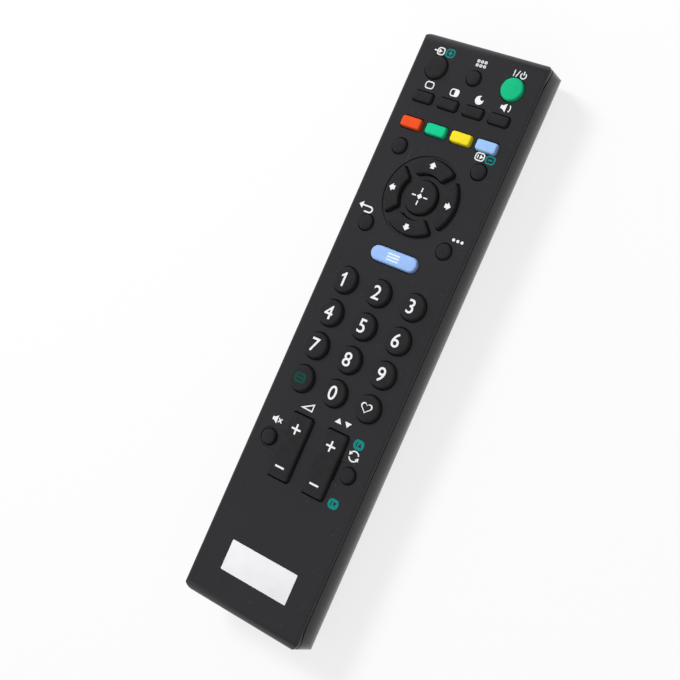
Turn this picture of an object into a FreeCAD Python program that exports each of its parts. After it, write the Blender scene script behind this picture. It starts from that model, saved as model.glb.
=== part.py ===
"""TV remote control: a slim handset of two shells, a rubber keypad, two AAA cells and an infrared lamp.

Frame: +X to the right of the face, +Y towards the infrared end, +Z out of the face.
Origin: the middle of the footprint, on the plane that the back rests on. Millimetres.
The key layout sets the length and width of the case. The cells and layers inside set its height.
"""
import FreeCAD
import Part
import math
import os

V = FreeCAD.Vector
EPS = 0.01
OVER = 1.0               # of a cutting block past what it cuts

# Case walls and edges
FACE_WALL = 1.6          # plate that the keys come through
SIDE_WALL = 1.8          # side, end and back walls
HEAD_CORNER_R = 2.6      # corners of the outline at the infrared end
TAIL_CORNER_R = 3.6      # corners of the outline at the battery end
FACE_EDGE_R = 1.3        # rounding between the face and the sides
HEAD_ROLL_R = 3.0        # roll of the face over the infrared end
TAIL_ROLL_R = 3.4        # roll of the face over the battery end
BELLY_R = 13.4           # long lower edges, which fit the palm
HEAD_HEEL_R = 4.0        # lower edge of the infrared end
TAIL_HEEL_R = 6.0        # lower edge of the battery end
SEAM_DROP = 2.15         # from the face down to the parting line
SEAM_GAP = 0.35          # shadow line between the shells
SKIRT_WALL = 0.9         # outer half of the lap joint, on the face shell
LAP_CLEAR = 0.1          # room between the halves of the lap joint
SIDE_MARGIN = 4.65       # from the outermost key hole to the side
TAIL_MARGIN = 43.75      # from the rocker holes to the battery end

# Layers inside
MAT_THICK = 1.2
BOARD_THICK = 1.2
PRESS_RIB = 2.2          # ribs under the face that hold the mat down
BOARD_CLEAR = 0.4        # over the battery deck
DECK_WALL = 0.9
PRESS_CLEAR = 0.1        # left under a key that is pressed home
KEY_TRAVEL = 1.0

# Cells of the AAA size and their bay
CELL_D = 10.3
CELL_LENGTH = 44.2       # over the button
BUTTON_D = 3.6
BUTTON_RISE = 0.9
CELL_GAP = 0.5           # between the two cells
CELL_CLEAR = 0.3         # between a cell and the bay
BAY_WALL = 1.0
CONTACT_THICK = 0.4
CONTACT_WIDTH = 8.4
CONTACT_DROP = 3.7       # of a contact's lower edge, below the cells' middle
CONTACT_LIFT = 4.2       # of its upper edge, above it
DIMPLE_RISE = 0.6
DIMPLE_HALF = 1.3        # half the width of the dimple
TAB_WIDTH = 2.4          # soldering tab of a contact
SPRING_LENGTH = 4.0      # with the cell in place
SPRING_WIRE = 0.5
SPRING_SIDES = 4         # flats of the wire
SPRING_BASE_R = 3.4
SPRING_TIP_R = 2.3
SPRING_QUARTERS = 10     # quarter turns of the wire
SPRING_LIMIT = 0.4       # least gap between the turns that is wanted

# Battery cover
COVER_WALL = 1.6
COVER_CLEAR = 0.15       # round its edges
COVER_SHOULDER = 1.6     # of the cover, beyond the bay's inside
RUNNER_WIDTH = 1.0       # thin edges that run under the shell
RUNNER_THICK = 0.7
COVER_END_HEIGHT = 7.2   # of the cover's upright end
GRIP_GROOVES = 6
GRIP_PITCH = 2.2
GRIP_WIDTH = 1.0
GRIP_DEPTH = 0.45
GRIP_LENGTH = 15.0
GRIP_INSET = 8.0         # from the cover's inner edge to the first groove

# Key fit and edges
KEY_GAP = 0.3            # round each key in its hole
KEY_BEVEL = 0.3          # upper edge of the straight-sided keys
CHAMBER_CLEAR = 0.35     # round each key in the mat

# Rows, from the infrared end down
HEAD_MARGIN = 10.6       # to the top row
DARK_ROW_STEP = 10.1
COLOUR_ROW_STEP = 8.8
PAD_STEP = 21.0
SATELLITE_STEP = 13.05   # small keys above and below the middle of the pad
MENU_STEP = 20.5
NUMBER_STEP = 11.65
NUMBER_ROWS = 4
NUMBER_PITCH_Y = 11.15
ROCKER_STEP = 20.8

# Columns, from the middle
TOP_KEY_X = 13.8
BAR_PITCH = 9.17
SATELLITE_X = 14.55
NUMBER_PITCH_X = 12.75
ROCKER_X = 6.75
EAR_KEY_X = 15.35

# Holes for the keys, and how far the keys stand above the face
BIG_HOLE_R = 4.1
BIG_KEY_RISE = 1.3
SMALL_HOLE_R = 2.7
SMALL_KEY_RISE = 1.2
DARK_HOLE = (7.6, 4.0)
DARK_KEY_RISE = 1.2
COLOUR_HOLE = (8.0, 4.4)
COLOUR_KEY_RISE = 1.3
BAR_CORNER_CUT = 0.8     # slanted corners of the straight-sided holes
SATELLITE_HOLE_R = 2.85
SATELLITE_KEY_RISE = 1.2
MENU_HOLE = (17.7, 5.6)
MENU_KEY_RISE = 1.2
NUMBER_HOLE_R = 4.6
NUMBER_KEY_RISE = 1.85
ROCKER_HOLE = (8.7, 21.9)
ROCKER_END_GAP = 0.45
ROCKER_KEY_RISE = 1.5
ROCKER_END_BEVEL = 0.6
EAR_HOLE_R = 2.8
EAR_KEY_RISE = 1.2

# Direction pad
PAD_DISH_R = 13.45
PAD_DISH_DEPTH = 0.35
PAD_OUTER_R = 12.7       # of the four windows
PAD_INNER_R = 7.2
PAD_SPOKE_HALF = 0.9     # half the width of the spokes between the windows
PAD_CORNER_CUT = 0.7
PAD_KEY_RISE = 1.45
ENTER_HOLE_R = 5.85
ENTER_KEY_RISE = 1.45

# Ears round the two keys beside the rockers
EAR_R = 3.3
EAR_DEPTH = 0.3

# Board and mat outlines
BOARD_MARGIN = 3.4       # board beyond the rocker holes
BOARD_HEAD_CLEAR = 1.6   # to the inside of the infrared end
BOARD_SIDE_CLEAR = 2.0   # to the inside of the side walls
MAT_INSET = 0.4

# Ribs, hooks and pins
RIB_THICK = 0.8
BOARD_RIB_COUNT = 4
BOARD_RIB_THICK = 1.2
BOARD_RIB_LEG = 5.0      # each leg of a board rib, at the side
BOARD_RIB_BAR = 2.4      # height of the bar between the legs
PIN_HALF = 1.0           # half the width of a square locating pin
PIN_CLEAR = 0.1
HOOK_COUNT = 4
HOOK_WIDTH = 5.0
HOOK_THICK = 1.1
HOOK_REACH = 4.6         # below the underside of the face
HOOK_BARB = 0.6
HOOK_BARB_HEIGHT = 1.3
HOOK_CLEAR = 0.15

# Screw between the cells
SCREW_R = 1.0
SCREW_HEAD_R = 1.9
SCREW_HEAD_HEIGHT = 1.1
SCREW_BITE = 4.0         # length of thread in the boss
SCREW_FIT = 0.03
BOSS_WALL = 1.5
SCREW_FROM_BOARD = 7.0   # behind the board's end
RECESS_WIDTH = 0.6
RECESS_SPAN = 2.2
RECESS_DEPTH = 0.6

# Infrared lamp and its window
LAMP_R = 2.5
LAMP_FLANGE_R = 2.9
LAMP_FLANGE = 1.0
LAMP_BODY = 7.2          # length in front of the flange
LAMP_BOARD_CLEAR = 0.4   # flange to the board's underside
LAMP_LEAD = 0.5
LAMP_LEAD_PITCH = 2.54
LAMP_LEAD_LENGTH = 3.0
LAMP_WINDOW_CLEAR = 0.4
WINDOW_WIDTH = 18.0
WINDOW_HEIGHT = 6.4
WINDOW_CLEAR = 0.08
WINDOW_FLANGE = 1.0
WINDOW_CORNER_R = 0.8

# Parts under the board
CHIP_SIZE = (12.8, 7.5, 2.3)
CHIP_LEGS = 10           # on each long side
CHIP_LEG_PITCH = 1.27
CHIP_LEG_WIDTH = 0.42
CHIP_LEG_REACH = 1.4
RESONATOR_SIZE = (8.0, 3.2, 5.0)
RESONATOR_X = 8.0
CAPACITOR_R = 2.5
CAPACITOR_LENGTH = 7.0
CAPACITOR_X = -7.0
RESISTOR_SIZE = (3.2, 1.6, 0.6)
RESISTOR_COUNT = 3
RESISTOR_PITCH = 4.0

# Sticker on the face
LABEL_SIZE = (25.8, 9.9)
LABEL_THICK = 0.12
LABEL_X = 0.6
LABEL_FROM_TAIL = 16.1

# Heights, from the resting plane up
cell_z = COVER_WALL + CELL_CLEAR + CELL_D / 2
deck_under = cell_z + CELL_D / 2 + CELL_CLEAR
deck_top = deck_under + DECK_WALL
board_under = deck_top + BOARD_CLEAR
board_top = board_under + BOARD_THICK
mat_top = board_top + MAT_THICK
face_under = mat_top + PRESS_RIB
face_z = face_under + FACE_WALL
seam_z = face_z - SEAM_DROP
key_foot = board_top + PRESS_CLEAR + KEY_TRAVEL
lap_top = face_under - LAP_CLEAR
lap_inset = SKIRT_WALL + LAP_CLEAR

# Width and length, from the key layout
case_width = 2 * (EAR_KEY_X + EAR_HOLE_R + SIDE_MARGIN)
rocker_from_head = (
    HEAD_MARGIN + DARK_ROW_STEP + COLOUR_ROW_STEP + PAD_STEP
    + MENU_STEP + NUMBER_STEP + (NUMBER_ROWS - 1) * NUMBER_PITCH_Y + ROCKER_STEP
)
case_length = rocker_from_head + ROCKER_HOLE[1] / 2 + TAIL_MARGIN
half_width = case_width / 2
head_y = case_length / 2
tail_y = -case_length / 2

# Places of the rows
top_y = head_y - HEAD_MARGIN
dark_y = top_y - DARK_ROW_STEP
colour_y = dark_y - COLOUR_ROW_STEP
pad_y = colour_y - PAD_STEP
upper_satellite_y = pad_y + SATELLITE_STEP
lower_satellite_y = pad_y - SATELLITE_STEP
menu_y = pad_y - MENU_STEP
number_y = menu_y - NUMBER_STEP
rocker_y = head_y - rocker_from_head

# Board, bay and screw along the case
board_half = half_width - SIDE_WALL - BOARD_SIDE_CLEAR
board_head = head_y - SIDE_WALL - BOARD_HEAD_CLEAR
board_tail = rocker_y - ROCKER_HOLE[1] / 2 - BOARD_MARGIN
screw_y = board_tail - SCREW_FROM_BOARD
cell_x = (CELL_D + CELL_GAP) / 2
bay_half = cell_x + CELL_D / 2 + CELL_CLEAR
bay_tail = tail_y + COVER_WALL + 2 * COVER_CLEAR + BAY_WALL
bay_head = bay_tail + 2 * CONTACT_THICK + SPRING_LENGTH + CELL_LENGTH + DIMPLE_RISE
cover_half = bay_half + COVER_SHOULDER
cover_head = bay_head - COVER_CLEAR
lamp_z = board_under - LAMP_BOARD_CLEAR - LAMP_FLANGE_R


def flat(z):
    """Returns a placer that puts a plan point at height z."""
    return lambda a, b: V(a, b, z)


def upright(y):
    """Returns a placer that puts a cross-section point (x, z) at length y."""
    return lambda a, b: V(a, y, b)


def sideways(x):
    """Returns a placer that puts a side-view point (y, z) at width x."""
    return lambda a, b: V(x, a, b)


def outline(low, high, radii, place):
    """A closed wire round a rectangle, with its own radius at each corner.

    The radii go round from the low corner: low-low, high-low, high-high, low-high.
    """
    corners = [(low[0], low[1]), (high[0], low[1]), (high[0], high[1]), (low[0], high[1])]
    steps = [(1, 0), (0, 1), (-1, 0), (0, -1)]
    edges = []
    for i, corner in enumerate(corners):
        come = steps[i - 1]
        leave = steps[i]
        r = radii[i]
        start = place(corner[0] - come[0] * r, corner[1] - come[1] * r)
        end = place(corner[0] + leave[0] * r, corner[1] + leave[1] * r)
        if r > 0:
            bulge = r * (1 - math.sqrt(0.5))
            middle = place(
                corner[0] + (leave[0] - come[0]) * bulge,
                corner[1] + (leave[1] - come[1]) * bulge,
            )
            edges.append(Part.Arc(start, middle, end).toShape())
        following = corners[(i + 1) % 4]
        gap = radii[(i + 1) % 4]
        stop = place(following[0] - leave[0] * gap, following[1] - leave[1] * gap)
        if (stop - end).Length > EPS:
            edges.append(Part.LineSegment(end, stop).toShape())
    return Part.Wire(Part.__sortEdges__(edges))


def prism(wire, direction):
    """The solid that a closed flat wire sweeps along a direction."""
    return Part.Face(wire).extrude(direction)


def plate(size, corner_r, low_z, high_z, x, y):
    """A flat plate with rounded corners, centred at (x, y)."""
    low = (x - size[0] / 2, y - size[1] / 2)
    high = (x + size[0] / 2, y + size[1] / 2)
    return prism(outline(low, high, [corner_r] * 4, flat(low_z)), V(0, 0, high_z - low_z))


def cut_plate(size, cut, low_z, high_z, x, y):
    """A flat plate with slanted corners, centred at (x, y)."""
    wide = size[0] / 2
    long = size[1] / 2
    corners = []
    for across, along in ((1, 1), (-1, 1), (-1, -1), (1, -1)):
        pair = [
            V(x + across * wide, y + along * (long - cut), low_z),
            V(x + across * (wide - cut), y + along * long, low_z),
        ]
        corners.extend(pair if across * along > 0 else pair[::-1])
    return prism(Part.makePolygon(corners + corners[:1]), V(0, 0, high_z - low_z))


def slanted(cut, inset):
    """The size of a slanted corner after its outline moves inwards."""
    return cut - inset * (2 - math.sqrt(2))


def box(low, high):
    """A plain block between two corners."""
    size = [b - a for a, b in zip(low, high)]
    return Part.makeBox(size[0], size[1], size[2], V(*low))


def rod(radius, start, end):
    """A round bar between two points."""
    axis = V(*end) - V(*start)
    return Part.makeCylinder(radius, axis.Length, V(*start), axis)


def fuse_all(shapes):
    """All the shapes as one, with the seams between them cleaned away."""
    return shapes[0].multiFuse(list(shapes[1:])).removeSplitter()


def cut_all(shape, tools):
    """The shape without the tools."""
    return shape.cut(Part.makeCompound(list(tools))) if tools else shape


def inner_radius(radius, inset):
    """The radius of a corner after its outline moves inwards."""
    return max(radius - inset, 0.5)


def envelope(inset, top_z, edge_r=0.0, square=False):
    """The case's outside form, moved inwards by inset, up to top_z.

    A square one has no rounding at the corners of its plan.
    """
    half = half_width - inset
    tail = tail_y + inset
    head = head_y - inset
    head_r = 0 if square else inner_radius(HEAD_CORNER_R, inset)
    tail_r = 0 if square else inner_radius(TAIL_CORNER_R, inset)
    plan = outline((-half, tail), (half, head), [tail_r, tail_r, head_r, head_r], flat(inset))
    block = prism(plan, V(0, 0, top_z - inset))
    belly = inner_radius(BELLY_R, inset)
    section = outline(
        (-half, inset), (half, top_z), [belly, belly, edge_r, edge_r], upright(tail - OVER)
    )
    heel = inner_radius(TAIL_HEEL_R, inset)
    toe = inner_radius(HEAD_HEEL_R, inset)
    brow = inner_radius(HEAD_ROLL_R, inset)
    roll = inner_radius(TAIL_ROLL_R, inset)
    side = outline((tail, inset), (head, top_z), [heel, toe, brow, roll], sideways(-half - OVER))
    along = prism(section, V(0, head - tail + 2 * OVER, 0))
    across = prism(side, V(2 * (half + OVER), 0, 0))
    return block.common(along).common(across)


def slab(low_z, high_z):
    """A block that holds the whole case between two heights."""
    reach = case_length
    return box((-reach, -reach, low_z), (reach, reach, high_z))


def circle_prism(radius, x, y, low_z, high_z):
    """An upright cylinder between two heights."""
    return Part.makeCylinder(radius, high_z - low_z, V(x, y, low_z))


def sector_prism(inner_r, outer_r, spoke_half, corner_cut, quarter, low_z, high_z):
    """One quarter of a ring, cut back from both diagonals and with its corners broken.

    The ring is centred on the pad. Quarter 0 lies towards +X, and they go round to the left.
    """
    def on_ring(radius, side):
        """The angle at which the spoke's edge crosses the ring."""
        return side * (math.pi / 4 - math.asin(spoke_half / radius))

    def point(radius, angle):
        turned = angle + quarter * math.pi / 2
        return V(radius * math.cos(turned), pad_y + radius * math.sin(turned), low_z)

    outer = Part.Arc(
        point(outer_r, on_ring(outer_r, -1)), point(outer_r, 0), point(outer_r, on_ring(outer_r, 1))
    )
    inner = Part.Arc(
        point(inner_r, on_ring(inner_r, 1)), point(inner_r, 0), point(inner_r, on_ring(inner_r, -1))
    )
    first = Part.LineSegment(outer.EndPoint, inner.StartPoint)
    last = Part.LineSegment(inner.EndPoint, outer.StartPoint)
    wire = Part.Wire([outer.toShape(), first.toShape(), inner.toShape(), last.toShape()])
    solid = prism(wire, V(0, 0, high_z - low_z))
    upright_edges = [
        e for e in solid.Edges
        if e.BoundBox.ZLength > (high_z - low_z) / 2
    ]
    return solid.makeChamfer(corner_cut, upright_edges)


class Key:
    """One key: the form of its hole in the face, its place and how far it stands up."""

    def __init__(self, name, form, x, y, rise, bevel=0):
        self.name = name
        self.form = form
        self.x = x
        self.y = y
        self.rise = rise
        self.bevel = bevel

    def body(self, inset, low_z, high_z):
        """The key's outline, moved inwards from its hole by inset, as an upright solid."""
        kind = self.form[0]
        if kind == "round":
            return circle_prism(self.form[1] - inset, self.x, self.y, low_z, high_z)
        if kind == "sector":
            return sector_prism(
                PAD_INNER_R + inset, PAD_OUTER_R - inset, PAD_SPOKE_HALF + inset,
                slanted(PAD_CORNER_CUT, inset), self.form[1], low_z, high_z,
            )
        end_gap = inset * ROCKER_END_GAP / KEY_GAP if kind == "rocker" else inset
        size = (self.form[1][0] - 2 * inset, self.form[1][1] - 2 * end_gap)
        if kind == "capsule":
            return plate(size, min(size) / 2 - EPS, low_z, high_z, self.x, self.y)
        return cut_plate(size, slanted(BAR_CORNER_CUT, inset), low_z, high_z, self.x, self.y)

    def solid(self):
        """The key itself, with its upper edge broken where it has a bevel."""
        top = face_z + self.rise
        block = self.body(KEY_GAP, key_foot, top)
        if self.bevel == 0:
            return block
        rim = [e for e in block.Edges if e.BoundBox.ZMin > top - EPS]
        return block.makeChamfer(self.bevel, rim)

    def hole(self):
        """The opening in the face."""
        return self.body(0.0, face_under - OVER, face_z + OVER)

    def reach(self):
        """Half the size of the hole, across and along the case."""
        if self.form[0] == "round":
            return self.form[1], self.form[1]
        if self.form[0] == "sector":
            return PAD_OUTER_R, PAD_OUTER_R
        return self.form[1][0] / 2, self.form[1][1] / 2

    def chamber(self):
        """The window in the mat round the key's foot. The keys of the pad share a round one."""
        margin = CHAMBER_CLEAR - KEY_GAP
        if self.form[0] == "sector":
            return circle_prism(PAD_OUTER_R + margin, self.x, self.y, board_top - OVER, mat_top + OVER)
        reach_x, reach_y = self.reach()
        low = (self.x - reach_x - margin, self.y - reach_y - margin, board_top - OVER)
        high = (self.x + reach_x + margin, self.y + reach_y + margin, mat_top + OVER)
        return box(low, high)


def round_key(name, hole_r, x, y, rise):
    """A round key in a hole of the given radius."""
    return Key(name, ("round", hole_r), x, y, rise)


def key_layout():
    """All the keys, in rows from the infrared end down."""
    rows = []
    rows.append([
        round_key("key_input", BIG_HOLE_R, -TOP_KEY_X, top_y, BIG_KEY_RISE),
        round_key("key_format", SMALL_HOLE_R, 0.0, top_y, SMALL_KEY_RISE),
        round_key("key_power", BIG_HOLE_R, TOP_KEY_X, top_y, BIG_KEY_RISE),
    ])
    dark_names = ["key_picture_size", "key_split_screen", "key_sleep", "key_audio"]
    colour_names = ["key_red", "key_green", "key_yellow", "key_blue"]
    for names, hole, y, rise in (
        (dark_names, DARK_HOLE, dark_y, DARK_KEY_RISE),
        (colour_names, COLOUR_HOLE, colour_y, COLOUR_KEY_RISE),
    ):
        row = []
        for i, name in enumerate(names):
            x = (i - (len(names) - 1) / 2) * BAR_PITCH
            row.append(Key(name, ("bar", hole), x, y, rise, KEY_BEVEL))
        rows.append(row)
    pad = [
        round_key("key_info", SATELLITE_HOLE_R, -SATELLITE_X, upper_satellite_y, SATELLITE_KEY_RISE),
        round_key("key_text", SATELLITE_HOLE_R, SATELLITE_X, upper_satellite_y, SATELLITE_KEY_RISE),
        round_key("key_return", SATELLITE_HOLE_R, -SATELLITE_X, lower_satellite_y, SATELLITE_KEY_RISE),
        round_key("key_tools", SATELLITE_HOLE_R, SATELLITE_X, lower_satellite_y, SATELLITE_KEY_RISE),
        round_key("key_enter", ENTER_HOLE_R, 0.0, pad_y, ENTER_KEY_RISE),
    ]
    for quarter, name in enumerate(["key_right", "key_up", "key_left", "key_down"]):
        pad.append(Key(name, ("sector", quarter), 0.0, pad_y, PAD_KEY_RISE))
    rows.append(pad)
    rows.append([Key("key_menu", ("capsule", MENU_HOLE), 0.0, menu_y, MENU_KEY_RISE)])
    number_names = [
        ["key_1", "key_2", "key_3"],
        ["key_4", "key_5", "key_6"],
        ["key_7", "key_8", "key_9"],
        ["key_subtitle", "key_0", "key_favourite"],
    ]
    for line, names in enumerate(number_names):
        y = number_y - line * NUMBER_PITCH_Y
        rows.append([
            round_key(name, NUMBER_HOLE_R, (i - 1) * NUMBER_PITCH_X, y, NUMBER_KEY_RISE)
            for i, name in enumerate(names)
        ])
    rockers = ("rocker", ROCKER_HOLE)
    rows.append([
        round_key("key_mute", EAR_HOLE_R, -EAR_KEY_X, rocker_y, EAR_KEY_RISE),
        Key("rocker_volume", rockers, -ROCKER_X, rocker_y, ROCKER_KEY_RISE, ROCKER_END_BEVEL),
        Key("rocker_programme", rockers, ROCKER_X, rocker_y, ROCKER_KEY_RISE, ROCKER_END_BEVEL),
        round_key("key_jump", EAR_HOLE_R, EAR_KEY_X, rocker_y, EAR_KEY_RISE),
    ])
    return rows


def row_span(row):
    """The lowest and highest reach of a row's holes along the case."""
    low = min(key.y - key.reach()[1] for key in row)
    high = max(key.y + key.reach()[1] for key in row)
    return low, high


def press_rib_places(rows):
    """Where a rib fits between two rows of holes, and just past the last row."""
    places = []
    for upper, lower in zip(rows, rows[1:]):
        gap_low = row_span(lower)[1]
        gap_high = row_span(upper)[0]
        if gap_high - gap_low > 2 * RIB_THICK:
            places.append((gap_low + gap_high) / 2)
    places.append((row_span(rows[-1])[0] + board_tail) / 2)
    return places


def hook_places():
    """The middles of the snap hooks along one side."""
    span = board_head - bay_tail
    return [bay_tail + span * (i + 0.5) / HOOK_COUNT for i in range(HOOK_COUNT)]


def hook(side, y):
    """A snap hook under the face, with its barb turned outwards."""
    inner_wall = side * (half_width - SIDE_WALL)
    outer_x = inner_wall - side * HOOK_CLEAR
    back_x = outer_x - side * HOOK_THICK
    tip_z = face_under - HOOK_REACH
    barb_x = outer_x + side * HOOK_BARB
    points = [
        (back_x, face_under + EPS),
        (outer_x, face_under + EPS),
        (outer_x, tip_z + HOOK_BARB_HEIGHT),
        (barb_x, tip_z + HOOK_BARB_HEIGHT),
        (outer_x, tip_z),
        (back_x, tip_z),
    ]
    corners = [V(px, y - HOOK_WIDTH / 2, pz) for px, pz in points]
    return prism(Part.makePolygon(corners + corners[:1]), V(0, HOOK_WIDTH, 0))


def hook_pocket(side, y):
    """The pocket in the side wall that a hook's barb snaps into."""
    tip_z = face_under - HOOK_REACH
    near = side * (half_width - SIDE_WALL - 2 * HOOK_CLEAR)
    far = side * (half_width - SIDE_WALL + HOOK_BARB)
    reach = HOOK_WIDTH / 2 + HOOK_CLEAR
    low = (min(near, far), y - reach, tip_z - HOOK_CLEAR)
    high = (max(near, far), y + reach, tip_z + HOOK_BARB_HEIGHT + HOOK_CLEAR)
    return box(low, high)


def ear(key):
    """The shallow tab-shaped hollow round a key beside its rocker."""
    side = math.copysign(1, key.x)
    low_z = face_z - EAR_DEPTH
    disc = circle_prism(EAR_R, key.x, key.y, low_z, face_z + OVER)
    rocker_side = side * (ROCKER_X + ROCKER_HOLE[0] / 2 - EPS)
    low = (min(rocker_side, key.x), key.y - EAR_R, low_z)
    high = (max(rocker_side, key.x), key.y + EAR_R, face_z + OVER)
    return disc.fuse(box(low, high))


def make_top_shell(rows):
    """The face plate with its skirt, key holes, press ribs, hooks and screw boss."""
    outer = envelope(0.0, face_z, edge_r=FACE_EDGE_R).common(slab(seam_z, face_z + OVER))
    lap_room = envelope(SKIRT_WALL, face_under)
    shell = outer.cut(lap_room)
    keys = [key for row in rows for key in row]
    added = []
    for y in press_rib_places(rows):
        reach = board_half - MAT_INSET
        added.append(box((-reach, y - RIB_THICK / 2, mat_top), (reach, y + RIB_THICK / 2, face_under + EPS)))
    for side in (-1, 1):
        added.extend(hook(side, y) for y in hook_places())
    boss_half = SCREW_R + BOSS_WALL
    boss_low = (-boss_half, screw_y - boss_half, deck_top)
    boss_high = (boss_half, screw_y + boss_half, face_under + EPS)
    added.append(box(boss_low, boss_high))
    shell = fuse_all([shell] + added)
    tools = [key.hole() for key in keys]
    tools.append(circle_prism(PAD_DISH_R, 0.0, pad_y, face_z - PAD_DISH_DEPTH, face_z + OVER))
    tools.extend(ear(key) for key in keys if key.name in ("key_mute", "key_jump"))
    pilot_top = deck_top + SCREW_BITE + 2 * LAP_CLEAR
    tools.append(circle_prism(SCREW_R + SCREW_FIT, 0.0, screw_y, deck_top - OVER, pilot_top))
    for tool in tools:
        shell = shell.cut(tool)
    return shell


def cover_form(gap, head_edge, depth):
    """The space of the battery cover: a thick middle, thin runners along its sides and a wide foot.

    The cover itself has no gap. Its opening in the shell has the same gap all round, and goes
    down to a depth that clears the whole wall.
    The foot is as wide as the runners, so that the runners slide out past the end of the case.
    """
    low_y = tail_y - OVER
    half = cover_half + gap
    edge = half + RUNNER_WIDTH
    runner_inset = COVER_WALL - RUNNER_THICK - gap
    middle = envelope(0.0, face_z)
    middle = middle.common(box((-half, low_y, -OVER), (half, head_edge, COVER_END_HEIGHT + gap)))
    runners = envelope(runner_inset, face_z)
    runners = runners.common(box((-edge, low_y, -OVER), (edge, head_edge, COVER_END_HEIGHT / 2)))
    foot_y = tail_y + TAIL_HEEL_R + gap
    foot = envelope(0.0, face_z)
    foot = foot.common(box((-edge, low_y, -OVER), (edge, foot_y, COVER_END_HEIGHT + gap)))
    form = middle.fuse([runners, foot]).removeSplitter()
    return form.cut(envelope(depth, face_z, square=True))


def make_battery_cover():
    """The sliding cover, with runners along its sides and grooves for the thumb."""
    cover = cover_form(0.0, cover_head, COVER_WALL)
    grooves = []
    for i in range(GRIP_GROOVES):
        y = cover_head - GRIP_INSET - i * GRIP_PITCH
        reach = (GRIP_LENGTH - i * GRIP_WIDTH) / 2
        low = (-reach, y - GRIP_WIDTH / 2, -OVER)
        high = (reach, y + GRIP_WIDTH / 2, GRIP_DEPTH)
        grooves.append(box(low, high))
    return cut_all(cover, grooves)


def board_rib_places():
    """The middles of the ribs that carry the board, ahead of the battery bay."""
    start = bay_head + BAY_WALL
    step = (board_head - start) / BOARD_RIB_COUNT
    return [start + step * (i + 0.5) for i in range(BOARD_RIB_COUNT)]


def board_rib(y):
    """A rib with two legs and a low bar, which carries the board on its legs."""
    reach = board_half
    low_y = y - BOARD_RIB_THICK / 2
    high_y = y + BOARD_RIB_THICK / 2
    rib = box((-reach, low_y, SIDE_WALL / 2), (reach, high_y, board_under))
    inner = reach - BOARD_RIB_LEG
    bar_top = SIDE_WALL + BOARD_RIB_BAR
    return rib.cut(box((-inner, low_y - OVER, bar_top), (inner, high_y + OVER, board_under + OVER)))


def pins(margin, low_z, high_z):
    """The square locating pins on every other board rib, or their holes with a margin round them."""
    reach = PIN_HALF + margin
    blocks = []
    for y in board_rib_places()[::2]:
        for side in (-1, 1):
            x = side * (board_half - BOARD_RIB_LEG / 2)
            blocks.append(box((x - reach, y - reach, low_z), (x + reach, y + reach, high_z)))
    return blocks


def make_bottom_shell():
    """The back shell: walls, lap, battery bay with its deck, board ribs and lamp window."""
    lower = envelope(0.0, seam_z - SEAM_GAP)
    lap = envelope(lap_inset, lap_top)
    hollow = envelope(SIDE_WALL, face_z, square=True)
    shell = lower.fuse(lap).cut(hollow)
    inside = envelope(SIDE_WALL / 2, face_z)
    wall_low = envelope(COVER_WALL + 2 * COVER_CLEAR, face_z)
    outer_x = bay_half + BAY_WALL
    low_y = bay_tail - BAY_WALL
    high_y = bay_head + BAY_WALL
    deck = box((-half_width, low_y, deck_under), (half_width, high_y, deck_top)).common(inside)
    frame = box((-outer_x, low_y, -OVER), (outer_x, high_y, deck_top))
    frame = frame.cut(box((-bay_half, bay_tail, -2 * OVER), (bay_half, bay_head, deck_under)))
    added = [deck, frame.common(wall_low)]
    added.append(box((-outer_x, bay_head, SIDE_WALL / 2), (outer_x, high_y, deck_top)))
    for y in board_rib_places():
        added.append(board_rib(y).common(inside))
    stand = BOARD_RIB_THICK
    for side in (-1, 1):
        edge = side * board_half
        low = (min(edge, edge - side * stand), board_tail, deck_top - EPS)
        high = (max(edge, edge - side * stand), bay_head, board_under)
        added.append(box(low, high))
    added.extend(pins(0.0, board_under - EPS, board_top - PIN_CLEAR))
    shell = fuse_all([shell] + added)
    tools = [cover_form(COVER_CLEAR, bay_head, SIDE_WALL + EPS)]
    for side in (-1, 1):
        tools.extend(hook_pocket(side, y) for y in hook_places())
    tools.append(circle_prism(SCREW_R + LAP_CLEAR, 0.0, screw_y, deck_under - OVER, deck_top + OVER))
    slot = CONTACT_THICK + LAP_CLEAR
    for side in (-1, 1):
        reach = TAB_WIDTH / 2 + LAP_CLEAR
        low = (side * cell_x - reach, bay_head - slot, deck_under - OVER)
        high = (side * cell_x + reach, bay_head + EPS, deck_top + OVER)
        tools.append(box(low, high))
    window_low = lamp_z - WINDOW_HEIGHT / 2
    hole = outline(
        (-WINDOW_WIDTH / 2, window_low), (WINDOW_WIDTH / 2, window_low + WINDOW_HEIGHT),
        [WINDOW_CORNER_R] * 4, upright(head_y - 2 * SIDE_WALL),
    )
    tools.append(prism(hole, V(0, 3 * SIDE_WALL, 0)))
    for tool in tools:
        shell = shell.cut(tool)
    return shell


def make_ir_window():
    """The dark window in the infrared end, with a flange behind the wall."""
    half = WINDOW_WIDTH / 2 - WINDOW_CLEAR
    rise = WINDOW_HEIGHT / 2 - WINDOW_CLEAR
    corner_r = WINDOW_CORNER_R - WINDOW_CLEAR
    inside_y = head_y - SIDE_WALL
    pane = outline((-half, lamp_z - rise), (half, lamp_z + rise), [corner_r] * 4, upright(inside_y - EPS))
    pane = prism(pane, V(0, SIDE_WALL + EPS, 0))
    flange_half = half + WINDOW_FLANGE
    flange_rise = min(rise + WINDOW_FLANGE, board_under - lamp_z - WINDOW_CLEAR)
    low = (-flange_half, inside_y - WINDOW_FLANGE, lamp_z - rise - WINDOW_FLANGE)
    high = (flange_half, inside_y, lamp_z + flange_rise)
    return pane.fuse(box(low, high)).removeSplitter()


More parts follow.
